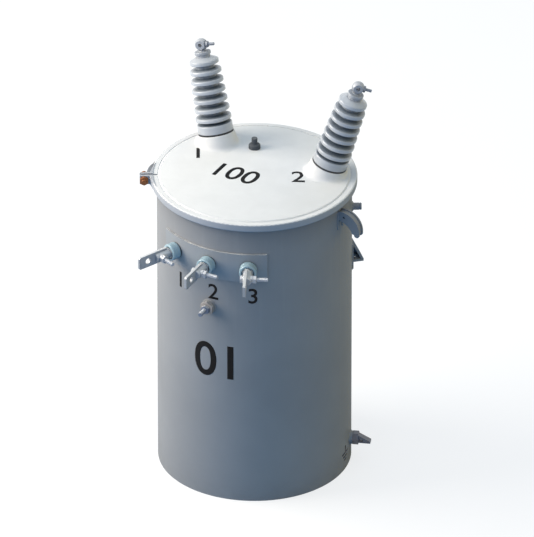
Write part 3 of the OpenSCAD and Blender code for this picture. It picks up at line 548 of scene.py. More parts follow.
def plated(name, base, rough, oxide_share, bloom=0.0, rusty=False):
    """Plated or cast metal: clouds of dull oxide or of rust, scratches, rubbed edges, painted light
    on the upper faces beside a pale bloom, and painted shade on the lower faces."""
    f = Finish(name)
    oxide = rgba(colours().rust) if rusty else tinted(base, 0.45)
    # Painted light with a pale bloom: upper faces blend towards the pale bloom colour
    pale = f.up.ramp(0.15, 0.85) * bloom
    # Painted shade: lower faces blend towards a dark tone
    shade_below = (0 - f.up).ramp(0.10, 0.85) * 0.75
    clouds = f.place.noise(110.0, 5.0, 0.65).ramp(0.42, 0.78)
    scratches = f.place.scaled(1.0, 0.12, 1.6).noise(1400.0, 2.0).ramp(0.60, 0.72)
    edge = f.worn_edge(0.8 * MM)
    tarnish = clouds * (1 - edge) * oxide_share
    tone = tarnish.blend(pale.blend(rgba(base), rgba(colours().bloom)), oxide)
    tone = (edge * 0.45).blend(tone, tinted(base, 1.35))
    tone = shade_below.blend(tone, tinted(base, 0.20))
    f.set(Base_Color=tone, Metallic=(1 - tarnish) * METAL_SHARE)
    f.set(Roughness=tarnish * 0.30 + scratches * 0.10 + rough - edge * 0.10)
    f.bump(clouds * 0.6 + scratches * 0.4 + f.place.noise(900.0, 2.0) * 0.5, 0.04 * MM, 0.7)
    return f.material


def rubber(name, base):
    """Moulded rubber with a grey bloom."""
    f = Finish(name)
    bloom = f.place.noise(120.0, 5.0).ramp(0.40, 0.75)
    tone = (bloom * 0.45).blend(rgba(base), tinted(base, 3.2))
    f.set(Base_Color=tone, Roughness=bloom * 0.2 + 0.55)
    f.bump(f.place.noise(1500.0, 3.0), 0.05 * MM, 0.8)
    return f.material


def stencil_paint(name, base):
    """Brushed marking paint, thin in places."""
    f = Finish(name)
    thin = f.place.noise(260.0, 4.0).ramp(0.52, 0.80)
    tone = (thin * 0.02).blend(rgba(base), rgba(colours().dust))
    f.set(Base_Color=tone, Roughness=thin * 0.25 + 0.45, Specular_IOR_Level=0.12)
    f.bump(f.place.noise(700.0, 3.0), 0.05 * MM, 0.7)
    return f.material


# What each finish is made by, the material's name and the maker's settings
MAKERS = {
    "tank_paint": (
        enamel, "Grey tank enamel", dict(gloss=0.28, dusty=0.20, chipped=0.8, shade=0.18)
    ),
    # The panel's dust at full strength pales its upward edges: dust, and a painted highlight along
    # its top edge
    "panel_paint": (
        enamel, "Grey panel enamel", dict(gloss=0.28, dusty=1.0, chipped=0.0, shade=0.15)
    ),
    # Painted light: the lid's pale enamel stands in for part of the light from above
    "lid_paint": (enamel, "Pale lid enamel", dict(gloss=0.20, dusty=0.12, chipped=0.6)),
    "band_paint": (enamel, "Grey band enamel", dict(gloss=0.28, dusty=0.15, chipped=0.9)),
    "dark_paint": (enamel, "Dark satin paint", dict(gloss=0.34, dusty=0.20, chipped=0.5)),
    "valve_paint": (enamel, "Grey valve paint", dict(gloss=0.34, dusty=0.20, chipped=0.5)),
    "gasket_rubber": (rubber, "Black gasket rubber", {}),
    "lv_rubber": (rubber, "Grey gasket rubber", {}),
    "porcelain": (glaze, "Grey porcelain glaze", dict(dusty=0.10, coat=0.35)),
    "lv_glaze": (glaze, "Blue-green glaze", dict(dusty=0.10, coat=0.20)),
    "yellow_zinc": (plated, "Brown zinc plating", dict(rough=0.42, oxide_share=0.8, rusty=True)),
    "porcelain_cap": (plated, "Grey cast cap", dict(rough=0.46, oxide_share=0.35)),
    "tinned_bronze": (plated, "Dull tin plating", dict(rough=0.42, oxide_share=0.30, bloom=0.85)),
    "eye_tin": (plated, "Weathered tin plating", dict(rough=0.46, oxide_share=0.45, bloom=0.30)),
    "eye_steel": (plated, "Weathered zinc plating", dict(rough=0.46, oxide_share=0.45, bloom=0.12)),
    "steel_bolt": (plated, "Zinc-plated steel", dict(rough=0.34, oxide_share=0.35, bloom=0.55)),
    "blue_steel": (plated, "Blued steel", dict(rough=0.34, oxide_share=0.45, bloom=0.65)),
    "bronze": (plated, "Dull bronze", dict(rough=0.45, oxide_share=0.55, bloom=0.30)),
    "earth_bronze": (
        plated, "Weathered bronze", dict(rough=0.42, oxide_share=0.45, bloom=0.05, rusty=True)
    ),
    "marking": (stencil_paint, "Black marking paint", {}),
}
FINISHES = {}


def finish(slot):
    """The material of a finish, made once from its colour."""
    if slot not in FINISHES:
        maker, name, settings = MAKERS[slot]
        FINISHES[slot] = maker(name, tuple(getattr(colours(), slot)), **settings)
    return FINISHES[slot]


# Places


def radial(angle, height, distance):
    """A place with z away from the tank axis, y up and x along the wall."""
    return (
        Matrix.Rotation(angle, 4, "Z")
        @ Matrix.Translation((0, -distance, height))
        @ Matrix.Rotation(math.pi / 2, 4, "X")
    )


def on_seat(side):
    """A place on a leaning bushing seat, z along the bushing."""
    return (
        Matrix.Rotation(side * HV_ANGLE, 4, "Z")
        @ Matrix.Translation((0, -HV_POS, SEAT_Z))
        @ Matrix.Rotation(HV_LEAN, 4, "X")
    )


def in_eye(name):
    """A place in the middle of a terminal's eye, z along its bolt."""
    return (
        on_seat(SIDES[name])
        @ Matrix.Translation((0, 0, EYE_MID))
        @ Matrix.Rotation(EYE_TURN[name] - math.pi / 2, 4, "Z")
        @ Matrix.Rotation(math.pi / 2, 4, "Y")
    )


def on_wall(angle, height, distance):
    """A point at an angle round the tank."""
    return Vector((distance * math.sin(angle), -distance * math.cos(angle), height))


def dome_z(distance):
    """Height of the lid's upper face at a distance from the axis."""
    return PANEL_TOP + DOME - DOME_R + math.sqrt(DOME_R**2 - min(distance, PANEL_R) ** 2)


# Outlines and meshes


def rounded(corners):
    """An outline of (x, y, radius) corners with each corner drawn as an arc."""
    points = []
    for k, (x, y, radius) in enumerate(corners):
        here = Vector((x, y))
        if radius <= 0 or k in (0, len(corners) - 1):
            points.append(here)
            continue
        before = (Vector(corners[k - 1][:2]) - here).normalized()
        after = (Vector(corners[k + 1][:2]) - here).normalized()
        half = before.angle(after) / 2
        cut = radius / math.tan(half)
        centre = here + (before + after).normalized() * (radius / math.sin(half))
        start = here + before * cut - centre
        turn = start.angle_signed(here + after * cut - centre)
        for s in range(ARC_STEPS + 1):
            points.append(centre + Matrix.Rotation(-turn * s / ARC_STEPS, 2) @ start)
    return points


def spread(low, high, count):
    """Even steps from low to high."""
    return [low + (high - low) * k / count for k in range(count + 1)]


def circle(count):
    """The angles of even steps round a circle."""
    return [math.tau * k / count for k in range(count)]


def to_data(name, source):
    """The faces that were collected, as mesh data."""
    data = bpy.data.meshes.new(name)
    source.to_mesh(data)
    source.free()
    return data


class Shape:
    """Collects the faces of one piece, then makes it a piece of the transformer."""

    def __init__(self):
        self.mesh = bmesh.new()

    def rings(self, rings, loop=False, place=Matrix()):
        """A skin over a row of rings with equal counts, closed at its ends or into a loop."""
        rows = [[self.mesh.verts.new(place @ Vector(p)) for p in ring] for ring in rings]
        for low, high in zip(rows, rows[1:] + rows[:1] if loop else rows[1:]):
            for k in range(len(low)):
                n = (k + 1) % len(low)
                self.mesh.faces.new((low[k], low[n], high[n], high[k]))
        if not loop:
            self.mesh.faces.new(rows[0][::-1])
            self.mesh.faces.new(rows[-1])

    def lathe(self, outline, place=Matrix(), segments=64, loop=False):
        """An outline of distances and heights turned round z."""
        turns = circle(segments)
        rings = [[(r * math.cos(t), r * math.sin(t), z) for t in turns] for r, z in outline]
        self.rings(rings, loop, place)

    def turned(self, corners, place, segments=64, loop=False):
        """An outline of (distance, height, radius) corners, rounded and turned round z."""
        self.lathe(rounded(corners), place, segments, loop)

    def washer(self, bore, radius, low, high, place, segments):
        """A flat ring."""
        outline = [(bore, low), (radius, low), (radius, high), (bore, high)]
        self.lathe(outline, place, segments, loop=True)

    def hexagon(self, width, low, high, place, both=True):
        """A nut or head across its flats, its corners turned off at both ends or the top only."""
        turns = circle(HEX_STEPS)
        sixth = math.pi / 3
        reach = [width / 2 / math.cos((t + sixth / 2) % sixth - sixth / 2) for t in turns]
        face = width * HEX_FACE
        drop = [(r - face) * HEX_SLOPE for r in reach]

        def ring(radii, heights):
            return [(r * math.cos(t), r * math.sin(t), z) for r, t, z in zip(radii, turns, heights)]

        flat = [face] * HEX_STEPS
        lower = [low + d for d in drop] if both else [low] * HEX_STEPS
        rows = [ring(flat, [low] * HEX_STEPS)] if both else []
        rows.append(ring(reach, lower))
        rows.append(ring(reach, [high - d for d in drop]))
        rows.append(ring(flat, [high] * HEX_STEPS))
        self.rings(rows, place=place)

    def thread(self, diameter, low, high, pitch, place):
        """A rod with a cut thread and a turned-off end."""
        deep = pitch * THREAD_DEEP
        rows = []
        steps = max(THREAD_LEAST, round((high - low) / pitch * THREAD_ROWS))
        for z in spread(low, high, steps):
            taper = min(1.0, max(0.0, (high - z) / (pitch * THREAD_TAPER)))
            ring = []
            for k, turn in enumerate(circle(THREAD_SIDES)):
                phase = (z / pitch - k / THREAD_SIDES) % 1.0
                cut = deep * (1 - abs(2 * phase - 1)) + (1 - taper) * deep * THREAD_END
                radius = diameter / 2 - min(cut, deep * THREAD_MOST)
                ring.append((radius * math.cos(turn), radius * math.sin(turn), z))
            rows.append(ring)
        self.rings(rows, place=place)

    def bead(self, path, radius, ripple, closed=False):
        """A weld bead along points that each have the direction away from the plate."""
        points = [p for p, _ in path]
        count = len(points)
        rows = []
        run = 0.0
        for k, (point, out) in enumerate(path):
            ahead = points[(k + 1) % count] if closed else points[min(k + 1, count - 1)]
            behind = points[k - 1] if closed else points[max(k - 1, 0)]
            run += (point - points[k - 1]).length if k else 0.0
            side = (ahead - behind).normalized().cross(out).normalized()
            grown = min(1.0, BEAD_END + min(k, count - 1 - k) * BEAD_GROWTH)
            wave = BEAD_RIPPLE * math.sin(math.tau * run / ripple)
            uneven = BEAD_UNEVEN * math.sin(run * BEAD_WAVE)
            size = radius * (1.0 if closed else grown) * (1 + wave + uneven)
            rows.append([
                point + side * size * math.cos(t) + out * size * BEAD_FLAT * math.sin(t)
                for t in circle(BEAD_SIDES)
            ])
        self.rings(rows, closed)

    def piece(self, name, slot, replaced=(), smooth=SMOOTH):
        """Makes the collected faces a piece that rides on the tank and stands for CAD nodes."""
        bmesh.ops.recalc_face_normals(self.mesh, faces=self.mesh.faces)
        add_piece(name, to_data(name, self.mesh), slot, replaced, smooth)


def add_piece(name, data, slot, replaced=(), smooth=SMOOTH):
    """Adds a mesh to the transformer with its finish."""
    data.shade_smooth()
    data.set_sharp_from_angle(angle=math.radians(smooth))
    data.materials.clear()
    data.materials.append(finish(slot))
    made = bpy.data.objects.new(name, data)
    link(made)
    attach(made, BODY)
    if replaced:
        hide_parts(*replaced)
    return made


def soften(node, width, slot):
    """A copy of a CAD node with its outer edges rounded, which stands for the node."""
    source = bmesh.new()
    source.from_mesh(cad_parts[node].data)
    bmesh.ops.remove_doubles(source, verts=source.verts, dist=MERGE)
    bmesh.ops.dissolve_limit(
        source, angle_limit=FLAT_TURN, verts=source.verts, edges=source.edges, delimit=set()
    )
    sharp = [e for e in source.edges if e.is_manifold and e.calc_face_angle_signed() > SHARP_TURN]
    bmesh.ops.bevel(
        source, geom=sharp, offset=width, segments=3, profile=0.5, affect="EDGES",
        clamp_overlap=True,
    )
    bmesh.ops.dissolve_degenerate(source, edges=source.edges, dist=SLIVER)
    data = to_data(node + "_rounded", source)
    for spare in ("custom_normal", "sharp_edge", "sharp_face"):
        if spare in data.attributes:
            data.attributes.remove(data.attributes[spare])
    made = add_piece(node + "_rounded", data, slot, (node,), 30.0)
    made.modifiers.new("Flat faces", "WEIGHTED_NORMAL").keep_sharp = True
    return made


def paint(slot, *names):
    """Gives CAD nodes that stay as they are a finish."""
    for name in names:
        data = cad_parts[name].data
        data.materials.clear()
        data.materials.append(finish(slot))


# Pieces


def wall_steps(reach):
    """How many steps a weld of some reach is drawn in."""
    return max(WELD_LEAST, round(reach / WELD_STEP))


def wall_rectangle(angle, half, low, high, distance):
    """A closed path round a rectangle on the wall, with the direction away from the wall."""
    wide = wall_steps(2 * half * distance)
    tall = wall_steps(high - low)
    corners = [(a, low) for a in spread(angle - half, angle + half, wide)[:-1]]
    corners += [(angle + half, z) for z in spread(low, high, tall)[:-1]]
    corners += [(a, high) for a in spread(angle + half, angle - half, wide)[:-1]]
    corners += [(angle - half, z) for z in spread(high, low, tall)[:-1]]
    return [(on_wall(a, z, distance), on_wall(a, 0, 1)) for a, z in corners]


def wall_circle(angle, height, radius, distance):
    """A closed path round a boss on the wall."""
    path = []
    for turn in circle(RING_STEPS):
        a = angle + radius * math.cos(turn) / distance
        path.append((on_wall(a, height + radius * math.sin(turn), distance), on_wall(a, 0, 1)))
    return path


def wall_line(angle, low, high, distance):
    """An upright path on the wall."""
    steps = spread(low, high, wall_steps(high - low))
    return [(on_wall(angle, z, distance), on_wall(angle, 0, 1)) for z in steps]


def make_welds():
    """The weld beads that hold the plates and bosses, and the seam down the back of the tank."""
    s = sizes()
    welds = Shape()
    for name, side in SIDES.items():
        low, high = span("arrester_bracket_" + name)
        path = wall_rectangle(side * BRACKET_ANGLE, BRACKET_HALF, low, high, PLATE_WELD)
        welds.bead(path, s.weld, s.ripple, True)
        _, high = span("lifting_lug_" + name)
        for edge in (-1, 1):
            angle = side * LUG_ANGLE + edge * (LUG_HALF + s.weld * LUG_WELD_ASIDE) / TANK_R
            path = wall_line(angle, high - LUG_WELD_LOW, high - LUG_WELD_HIGH, LUG_WELD)
            welds.bead(path, s.weld, s.ripple)
    for name in HANGERS:
        path = wall_rectangle(HANGER_ANGLE, HANGER_HALF, *span("hanger_" + name), PLATE_WELD)
        welds.bead(path, s.weld, s.ripple, True)
    for angle, height, radius in (
        (LV_TURN, NEUTRAL_Z, BOSS_RING_R),
        (EARTH_ANGLE, EARTH_Z, BOSS_RING_R),
        (VALVE_ANGLE, VALVE_Z, VALVE_RING_R),
    ):
        path = wall_circle(angle, height, radius, RING_WELD)
        welds.bead(path, s.weld * RING_SHARE, s.ripple, True)
    welds.piece("tank_welds", "tank_paint", smooth=WELD_SMOOTH)
    seam = Shape()
    seam.bead(wall_line(SEAM_ANGLE, SEAM_LOW, SEAM_HIGH, SEAM_WELD), SEAM_R, s.ripple)
    seam.piece("tank_seam", "tank_paint", smooth=WELD_SMOOTH)


def make_tank():
    """The tank's own nodes, its rounded plates and their welds."""
    s = sizes()
    paint("tank_paint", "tank_wall", "tank_floor", "neutral_boss", "earth_boss")
    soften("lv_panel", s.panel_edge, "panel_paint")
    for name in SIDES:
        soften("lifting_lug_" + name, s.edge, "tank_paint")
        soften("arrester_bracket_" + name, s.edge, "tank_paint")
    for name in HANGERS:
        soften("hanger_" + name, s.edge, "tank_paint")
    make_welds()


def boss_fillet(shape, side, reach):
    """A ring with a hollow face that leads from the lid up to a leaning boss."""
    seat = on_seat(side)
    widen = (FOOT_R - SEAT_R) / BOSS_LEN

    def on_cone(turn, down):
        radius = SEAT_R + widen * down
        return seat @ Vector((radius * math.cos(turn), radius * math.sin(turn), -down))

    rings = []
    for turn in circle(120):
        low, high = 0.0, BOSS_LEN
        for _ in range(40):
            mid = (low + high) / 2
            point = on_cone(turn, mid)
            if point.z > dome_z(point.xy.length):
                low = mid
            else:
                high = mid
        foot = on_cone(turn, low)
        axis_xy = (seat @ Vector((0, 0, -low))).xy
        away = (foot.xy - axis_xy).normalized()
        room = PANEL_R - FILLET_ROOM - foot.xy.length
        outward = away.dot(foot.xy.normalized()) > 0.3
        out = min(reach, max(FILLET_LEAST, room)) if outward else reach
        upper = on_cone(turn, low - min(reach, low * 0.75))
        end_xy = foot.xy + away * out
        outer = Vector((*end_xy, dome_z(end_xy.length) + FILLET_LIFT))
        ring = []
        for t in spread(0.0, 1.0, 8):
            ring.append(upper * (1 - t) ** 2 + foot * (2 * t * (1 - t)) + outer * t**2)
        inward = (Vector((*axis_xy, foot.z)) - foot).normalized()
        ring.append(foot + inward * 2 * MM - Vector((0, 0, FILLET_SUNK)))
        rings.append(ring)
    shape.rings(rings, loop=True)


def make_lid():
    """The pressed lid with its two leaning bosses, its gasket and its plug."""
    paint("gasket_rubber", "lid_gasket")
    lid = Shape()
    bend = PANEL_R - PANEL_BEND
    dome = [(r, dome_z(r)) for r in spread(CENTRE_R, bend, 30)]
    rim = rounded([
        (*dome[-1], 0), (PANEL_R, PANEL_TOP, 3 * MM), (SLOPE_R, LID_PAINT, 1 * MM),
        (LIP_R, LID_PAINT, 0), (LIP_R, LID_EDGE, 0), (FLANGE_R, LID_EDGE, 0.8 * MM),
        (FLANGE_R, LID_LOW, 0), (SLOPE_R - 1 * MM, LID_LOW, 0),
    ])
    under = [(r, dome_z(r) - LID_SHEET) for r in spread(bend, CENTRE_R, 12)]
    lid.lathe(dome[:-1] + rim + under, segments=240)
    boss = [
        (SEAT_HOLE_R, -BOSS_LEN, 0), (SEAT_HOLE_R, 0, 0.5 * MM), (SEAT_R, 0, 2.5 * MM),
        (FOOT_R, -BOSS_LEN, 0),
    ]
    for side in SIDES.values():
        lid.turned(boss, on_seat(side), 120, loop=True)
        boss_fillet(lid, side, sizes().boss_fillet)
    lid.piece("lid_pressed", "lid_paint", ("lid",), 40.0)
    foot = Matrix.Translation((0, -PLUG_POS, dome_z(PLUG_POS) - PLUG_SUNK))
    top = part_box("lid_plug")[1].z - dome_z(PLUG_POS) + PLUG_SUNK
    flange = top - PLUG_STEM
    plug = Shape()
    plug.turned([
        (PLUG_FOOT_R, 0, 0), (PLUG_FLANGE_R, 1 * MM, 0.5 * MM),
        (PLUG_FLANGE_R, flange - 1 * MM, 3 * MM), (PLUG_NECK_R, flange, 1 * MM),
        (PLUG_STEM_R, flange + 2 * MM, 1 * MM), (PLUG_STEM_R, top, 0.9 * MM), (CENTRE_R, top, 0),
    ], Matrix.Rotation(PLUG_ANGLE, 4, "Z") @ foot)
    plug.piece("lid_plug_turned", "dark_paint", ("lid_plug",))


def make_band():
    """The clamp band with its ears and the draw bolt. Painted light: the upper faces and the inner
    face of its lip take the pale lid paint.
    """
    band = soften("clamp_band", BAND_EDGE, "band_paint")
    band.data.materials.append(finish("lid_paint"))
    # Painted light: the lip's upward faces take the pale lid paint for the bright rolled lip, and
    # its inner face too, which lightens the shade in the groove inside the lip
    for face in band.data.polygons:
        distance = face.center.xy.length
        lit_lip = face.normal.z > 0.6 or distance < BAND_IN - 2 * MM
        face.material_index = int(lit_lip and distance < BAND_R and face.center.z > LID_EDGE)
    line = (
        Matrix.Rotation(BAND_ANGLE, 4, "Z")
        @ Matrix.Translation((0, -BAND_R - DRAW_OUT, (BAND_LOW + BAND_HIGH) / 2))
        @ Matrix.Rotation(math.pi / 2, 4, "Y")
        @ Matrix.Rotation(math.pi / 6, 4, "Z")
    )
    reach = BAND_SPLIT / 2 + EAR_THICK
    bolt = Shape()
    bolt.hexagon(DRAW_FLATS, -reach - DRAW_HEAD, -reach, line)
    bolt.thread(DRAW_D, -reach, reach + DRAW_D, DRAW_PITCH, line)
    bolt.piece("draw_bolt", "yellow_zinc", ("clamp_bolt",))
    nut = Shape()
    nut.hexagon(DRAW_FLATS, reach, reach + DRAW_HEAD, line)
    nut.piece("draw_nut", "yellow_zinc", ("clamp_nut",))


def shed_radius(k):
    """Radius of a shed, counted from the lowest; the top one is smaller than the row."""
    if k == SHEDS - 1:
        return SHED_TOP_R
    return SHED_LOW_R + (SHED_HIGH_R - SHED_LOW_R) * k / (SHEDS - 2)


def porcelain_corners():
    """The bushing from the foot of its shank over the collar and the sheds to the crown."""
    corners = [
        (SHANK_R, HV_GASKET - SHANK_LEN, 0), (SHANK_R, HV_GASKET, 0),
        (COLLAR_R, HV_GASKET, 0.8 * MM), (COLLAR_R, COLLAR_TOP, 3.5 * MM),
        (CORE_R, COLLAR_TOP + SHED_RISE, SHED_ROOT),
    ]
    for k in range(SHEDS):
        low = SHED_FIRST + k * SHED_PITCH - SHED_RIM / 2
        high = low + SHED_RIM
        radius = shed_radius(k)
        corners += [
            (CORE_R, low + SHED_HOLLOW, SHED_ROOT), (radius, low, 2 * MM), (radius, high, 3.5 * MM)
        ]
        if k < SHEDS - 1:
            corners.append((CORE_R, high + SHED_RISE, SHED_ROOT))
    return corners + [(CROWN_R, CROWN_TOP, 1 * MM), (CENTRE_R, CROWN_TOP, 0)]


def make_hv_bushings():
    """The two leaning bushings with their caps, eye terminals and bolts."""
    for name, side in SIDES.items():
        seat = on_seat(side)
        paint("gasket_rubber", "hv_gasket_" + name)
        bushing = Shape()
        bushing.turned(porcelain_corners(), seat, 128)
        bushing.piece("hv_porcelain_" + name, "porcelain", ("hv_bushing_" + name,), 50.0)
        cap = Shape()
        cap.turned([
            (CAP_BORE_R, CROWN_TOP, 0), (CAP_NECK_R, CROWN_TOP, 0), (CAP_NECK_R, CAP_NECK, 1 * MM),
            (CAP_R, CAP_NECK + 0.5 * MM, 1 * MM), (CAP_R, CAP_TOP, 1.6 * MM),
            (PAD_FOOT_R, CAP_TOP, 1 * MM), (PAD_TOP_R, CAP_PAD, 0.5 * MM), (CAP_BORE_R, CAP_PAD, 0),
        ], seat, 96)
        cap.piece("hv_cap_turned_" + name, "porcelain_cap", ("hv_cap_" + name,))
        soften("hv_terminal_" + name, EYE_EDGE, "eye_tin")
        eye = in_eye(name)
        bolt = Shape()
        bolt.hexagon(EYE_FLATS, EYE_WASHER, EYE_NUT, eye)
        bolt.washer(EYE_WASHER_BORE, EYE_WASHER_R, EYE_FACE, EYE_WASHER, eye, 40)
        bolt.thread(EYE_SCREW, EYE_INNER, EYE_OUTER, EYE_PITCH, eye)
        bolt.piece("hv_eye_screw_" + name, "eye_steel", ("hv_eye_bolt_" + name,))


def make_lv_bushings():
    """The three short bushings with their studs, clamp terminals and bolts."""
    long, deep = LV_FACE - LV_SEAT, STUD_SEAT - LV_SEAT
    corners = [
        (LV_BORE_R, -LV_SHANK, 0), (LV_SHANK_R, -LV_SHANK, 0), (LV_SHANK_R, 0, 0),
        (LV_R, 0, 0.8 * MM), (LV_R, long * 0.32, LV_GROOVE_EDGE),
        (LV_GROOVE_R, long * 0.36, LV_GROOVE_EDGE), (LV_GROOVE_R, long * 0.40, LV_GROOVE_EDGE),
        (LV_R, long * 0.44, LV_GROOVE_EDGE), (LV_R, long, 2.5 * MM),
        (LV_RECESS_R, long, 0.8 * MM), (LV_RECESS_R, deep, 0.5 * MM), (LV_BORE_R, deep, 0),
    ]
    for k, angle in LV_ANGLES.items():
        paint("lv_rubber", f"lv_gasket_{k}")
        bushing = Shape()
        bushing.turned(corners, radial(angle, LV_Z, LV_SEAT), 96)
        bushing.piece(f"lv_glazed_{k}", "lv_glaze", (f"lv_bushing_{k}",))
        face = radial(angle, LV_Z, STUD_SEAT)
        stud = Shape()
        stud.hexagon(STUD_FLATS, 0, HUB_FACE - STUD_SEAT, face, both=False)
        stud.thread(STUD_D, STUD_INNER, STUD_OUTER, STUD_PITCH, face)
        stud.piece(f"lv_stud_threaded_{k}", "tinned_bronze", (f"lv_stud_{k}",))
        soften(f"lv_terminal_{k}", sizes().cast_edge, "tinned_bronze")
        across = radial(angle, LV_Z, CLAMP_R) @ Matrix.Rotation(math.pi / 2, 4, "Y")
        bolt = Shape()
        bolt.hexagon(CLAMP_FLATS, -HEAD_OUT - CLAMP_HEAD, -HEAD_OUT, across)
        bolt.washer(CLAMP_WASHER_BORE, CLAMP_WASHER_R, NUT_OUT, CLAMP_WASHER, across, 48)
        bolt.hexagon(CLAMP_FLATS, CLAMP_WASHER, CLAMP_NUT, across)
        bolt.thread(CLAMP_D, CLAMP_INNER, CLAMP_OUTER, CLAMP_PITCH, across)
        bolt.piece(f"lv_clamp_bolt_{k}", "steel_bolt", (f"lv_bolt_{k}",))


def make_wall_fittings():
    """The neutral clamp, the earth clamp and the relief valve."""
    seat = radial(LV_TURN, NEUTRAL_Z, NEUTRAL_SEAT)
    neutral = Shape()
    neutral.hexagon(NEUTRAL_FLATS, 0, NEUTRAL_PLATE, seat)
    neutral.piece("neutral_plate", "bronze", ("neutral_clamp",))
    screw = Shape()
    screw.hexagon(NEUTRAL_NUT_FLATS, NEUTRAL_PLATE, NEUTRAL_NUT, seat)
    screw.thread(NEUTRAL_D, NEUTRAL_INNER, NEUTRAL_OUTER, NEUTRAL_PITCH, seat)
    screw.piece("neutral_screw", "blue_steel")
    soften("earth_clamp", EARTH_EDGE, "earth_bronze")
    valve = Shape()
    valve.turned([
        (VALVE_BORE_R, VALVE_SUNK, 0), (VALVE_FOOT_R, VALVE_SUNK, 0),
        (VALVE_FOOT_R, VALVE_FOOT, 1 * MM), (VALVE_R, VALVE_FOOT, 0.6 * MM),
        (VALVE_R, VALVE_END - 6 * MM, 0.3 * MM), (VALVE_GROOVE_R, VALVE_END - 5.5 * MM, 0.2 * MM),
        (VALVE_GROOVE_R, VALVE_END - 4.5 * MM, 0.2 * MM), (VALVE_R, VALVE_END - 4 * MM, 0.3 * MM),
        (VALVE_R, VALVE_END, 2 * MM), (CENTRE_R, VALVE_END, 0),
    ], radial(VALVE_ANGLE, VALVE_Z, TANK_R))
    valve.piece("relief_valve_turned", "valve_paint", ("relief_valve",))


def figures(body, height):
    """A flat mesh of plain figures of some height, with the middle of its outline at zero."""
    words = bpy.data.curves.new("figures", "FONT")
    words.body = body
    words.resolution_u = 10
    words.offset = sizes().number_bold
    holder = bpy.data.objects.new("figures", words)
    link(holder)
    bpy.context.view_layer.update()
    shown = holder.evaluated_get(bpy.context.evaluated_depsgraph_get())
    data = bpy.data.meshes.new_from_object(shown)
    bpy.data.objects.remove(holder)
    bpy.data.curves.remove(words)
    shape = bmesh.new()
    shape.from_mesh(data)
    bpy.data.meshes.remove(data)
    bmesh.ops.remove_doubles(shape, verts=shape.verts, dist=MERGE)
    low = Vector((min(v.co.x for v in shape.verts), min(v.co.y for v in shape.verts), 0))
    high = Vector((max(v.co.x for v in shape.verts), max(v.co.y for v in shape.verts), 0))
    grow = height / (high.y - low.y)
    for v in shape.verts:
        v.co = (v.co - (low + high) / 2) * grow
    for axis, reach in ((0, (high.x - low.x) * grow / 2), (1, height / 2)):
        normal = Vector((axis == 0, axis == 1, 0))
        most = int(reach / FIGURE_STEP)
        for k in range(-most, most + 1):
            parts = shape.verts[:] + shape.edges[:] + shape.faces[:]
            cut = normal * (k * FIGURE_STEP)
            bmesh.ops.bisect_plane(shape, geom=parts, plane_co=cut, plane_no=normal)
    return shape


def laid_on_wall(angle, height):
    """A function that lays flat points on the wall round a middle."""
    distance = TANK_R + MARK_LIFT
    return lambda x, y: on_wall(angle + x / distance, height + y, distance)


def laid_on_lid(middle_xy, turn):
    """A function that lays flat points on the lid round a middle, turned."""
    spin = Matrix.Rotation(turn, 2)

    def place(x, y):
        at = Vector(middle_xy) + spin @ Vector((x, y))
        return Vector((*at, dome_z(at.length) + MARK_LIFT))

    return place


def add_mark(name, shape):
    """Makes a flat mark a piece with the thickness of its paint."""
    made = add_piece(name, to_data(name, shape), "marking")
    film = made.modifiers.new("Paint film", "SOLIDIFY")
    film.thickness = sizes().paint_film
    film.offset = 0.0


def paint_figures(name, body, height, place):
    """Figures laid on a surface that is given as a function of their flat points."""
    shape = figures(body, height)
    for v in shape.verts:
        v.co = place(v.co.x, v.co.y)
    add_mark(name, shape)


def paint_earth_sign():
    """The usual sign for earth: a stem with three bars under it, each shorter than the last."""
    place = laid_on_wall(EARTH_SIGN_ANGLE, EARTH_SIGN_Z)
    bars = [(SIGN_STROKE, SIGN_TALL / 2, SIGN_TALL / 2 - SIGN_STEM)]
    for k in range(SIGN_BARS):
        width = SIGN_WIDE * (SIGN_BARS - k) / SIGN_BARS
        bars.append((width, 0 - SIGN_STEP * k, SIGN_STROKE - SIGN_STEP * k))
    sign = bmesh.new()
    for width, low, high in bars:
        across = spread(-width / 2, width / 2, SIGN_COLUMNS)
        rows = [[sign.verts.new(place(x, y)) for x in across] for y in sorted((low, high))]
        for k in range(SIGN_COLUMNS):
            sign.faces.new((rows[0][k], rows[0][k + 1], rows[1][k + 1], rows[1][k]))
    add_mark("earth_sign", sign)


def paint_numbers():
    """Plain numbers at the terminals, on the lid and on the tank, and an earth sign."""
    s = sizes()
    for k, angle in LV_ANGLES.items():
        place = laid_on_wall(angle + LV_NUMBER_ASIDE, LV_NUMBER_Z)
        paint_figures(f"lv_number_{k}", str(k), s.number_height, place)
    for k, (name, (angle, distance)) in enumerate(HV_NUMBERS.items(), 1):
        place = laid_on_lid(Matrix.Rotation(angle, 2) @ Vector((0, -distance)), HV_NUMBER_TURN)
        paint_figures(f"hv_number_{name}", str(k), s.lid_number_height, place)
    paint_figures("lid_number", "100", s.lid_figure_height, laid_on_lid(LID_NUMBER_AT, 0.0))
    paint_figures("unit_number", "01", s.unit_height, laid_on_wall(UNIT_ANGLE, UNIT_Z))
    paint_earth_sign()


# Stage


def view_axes(azimuth, elevation):
    """The camera's right, up and back directions."""
    right = Vector((math.cos(azimuth), math.sin(azimuth), 0))
    level = math.cos(elevation)
    back = Vector((math.sin(azimuth) * level, -math.cos(azimuth) * level, math.sin(elevation)))
    return right, back.cross(right), back


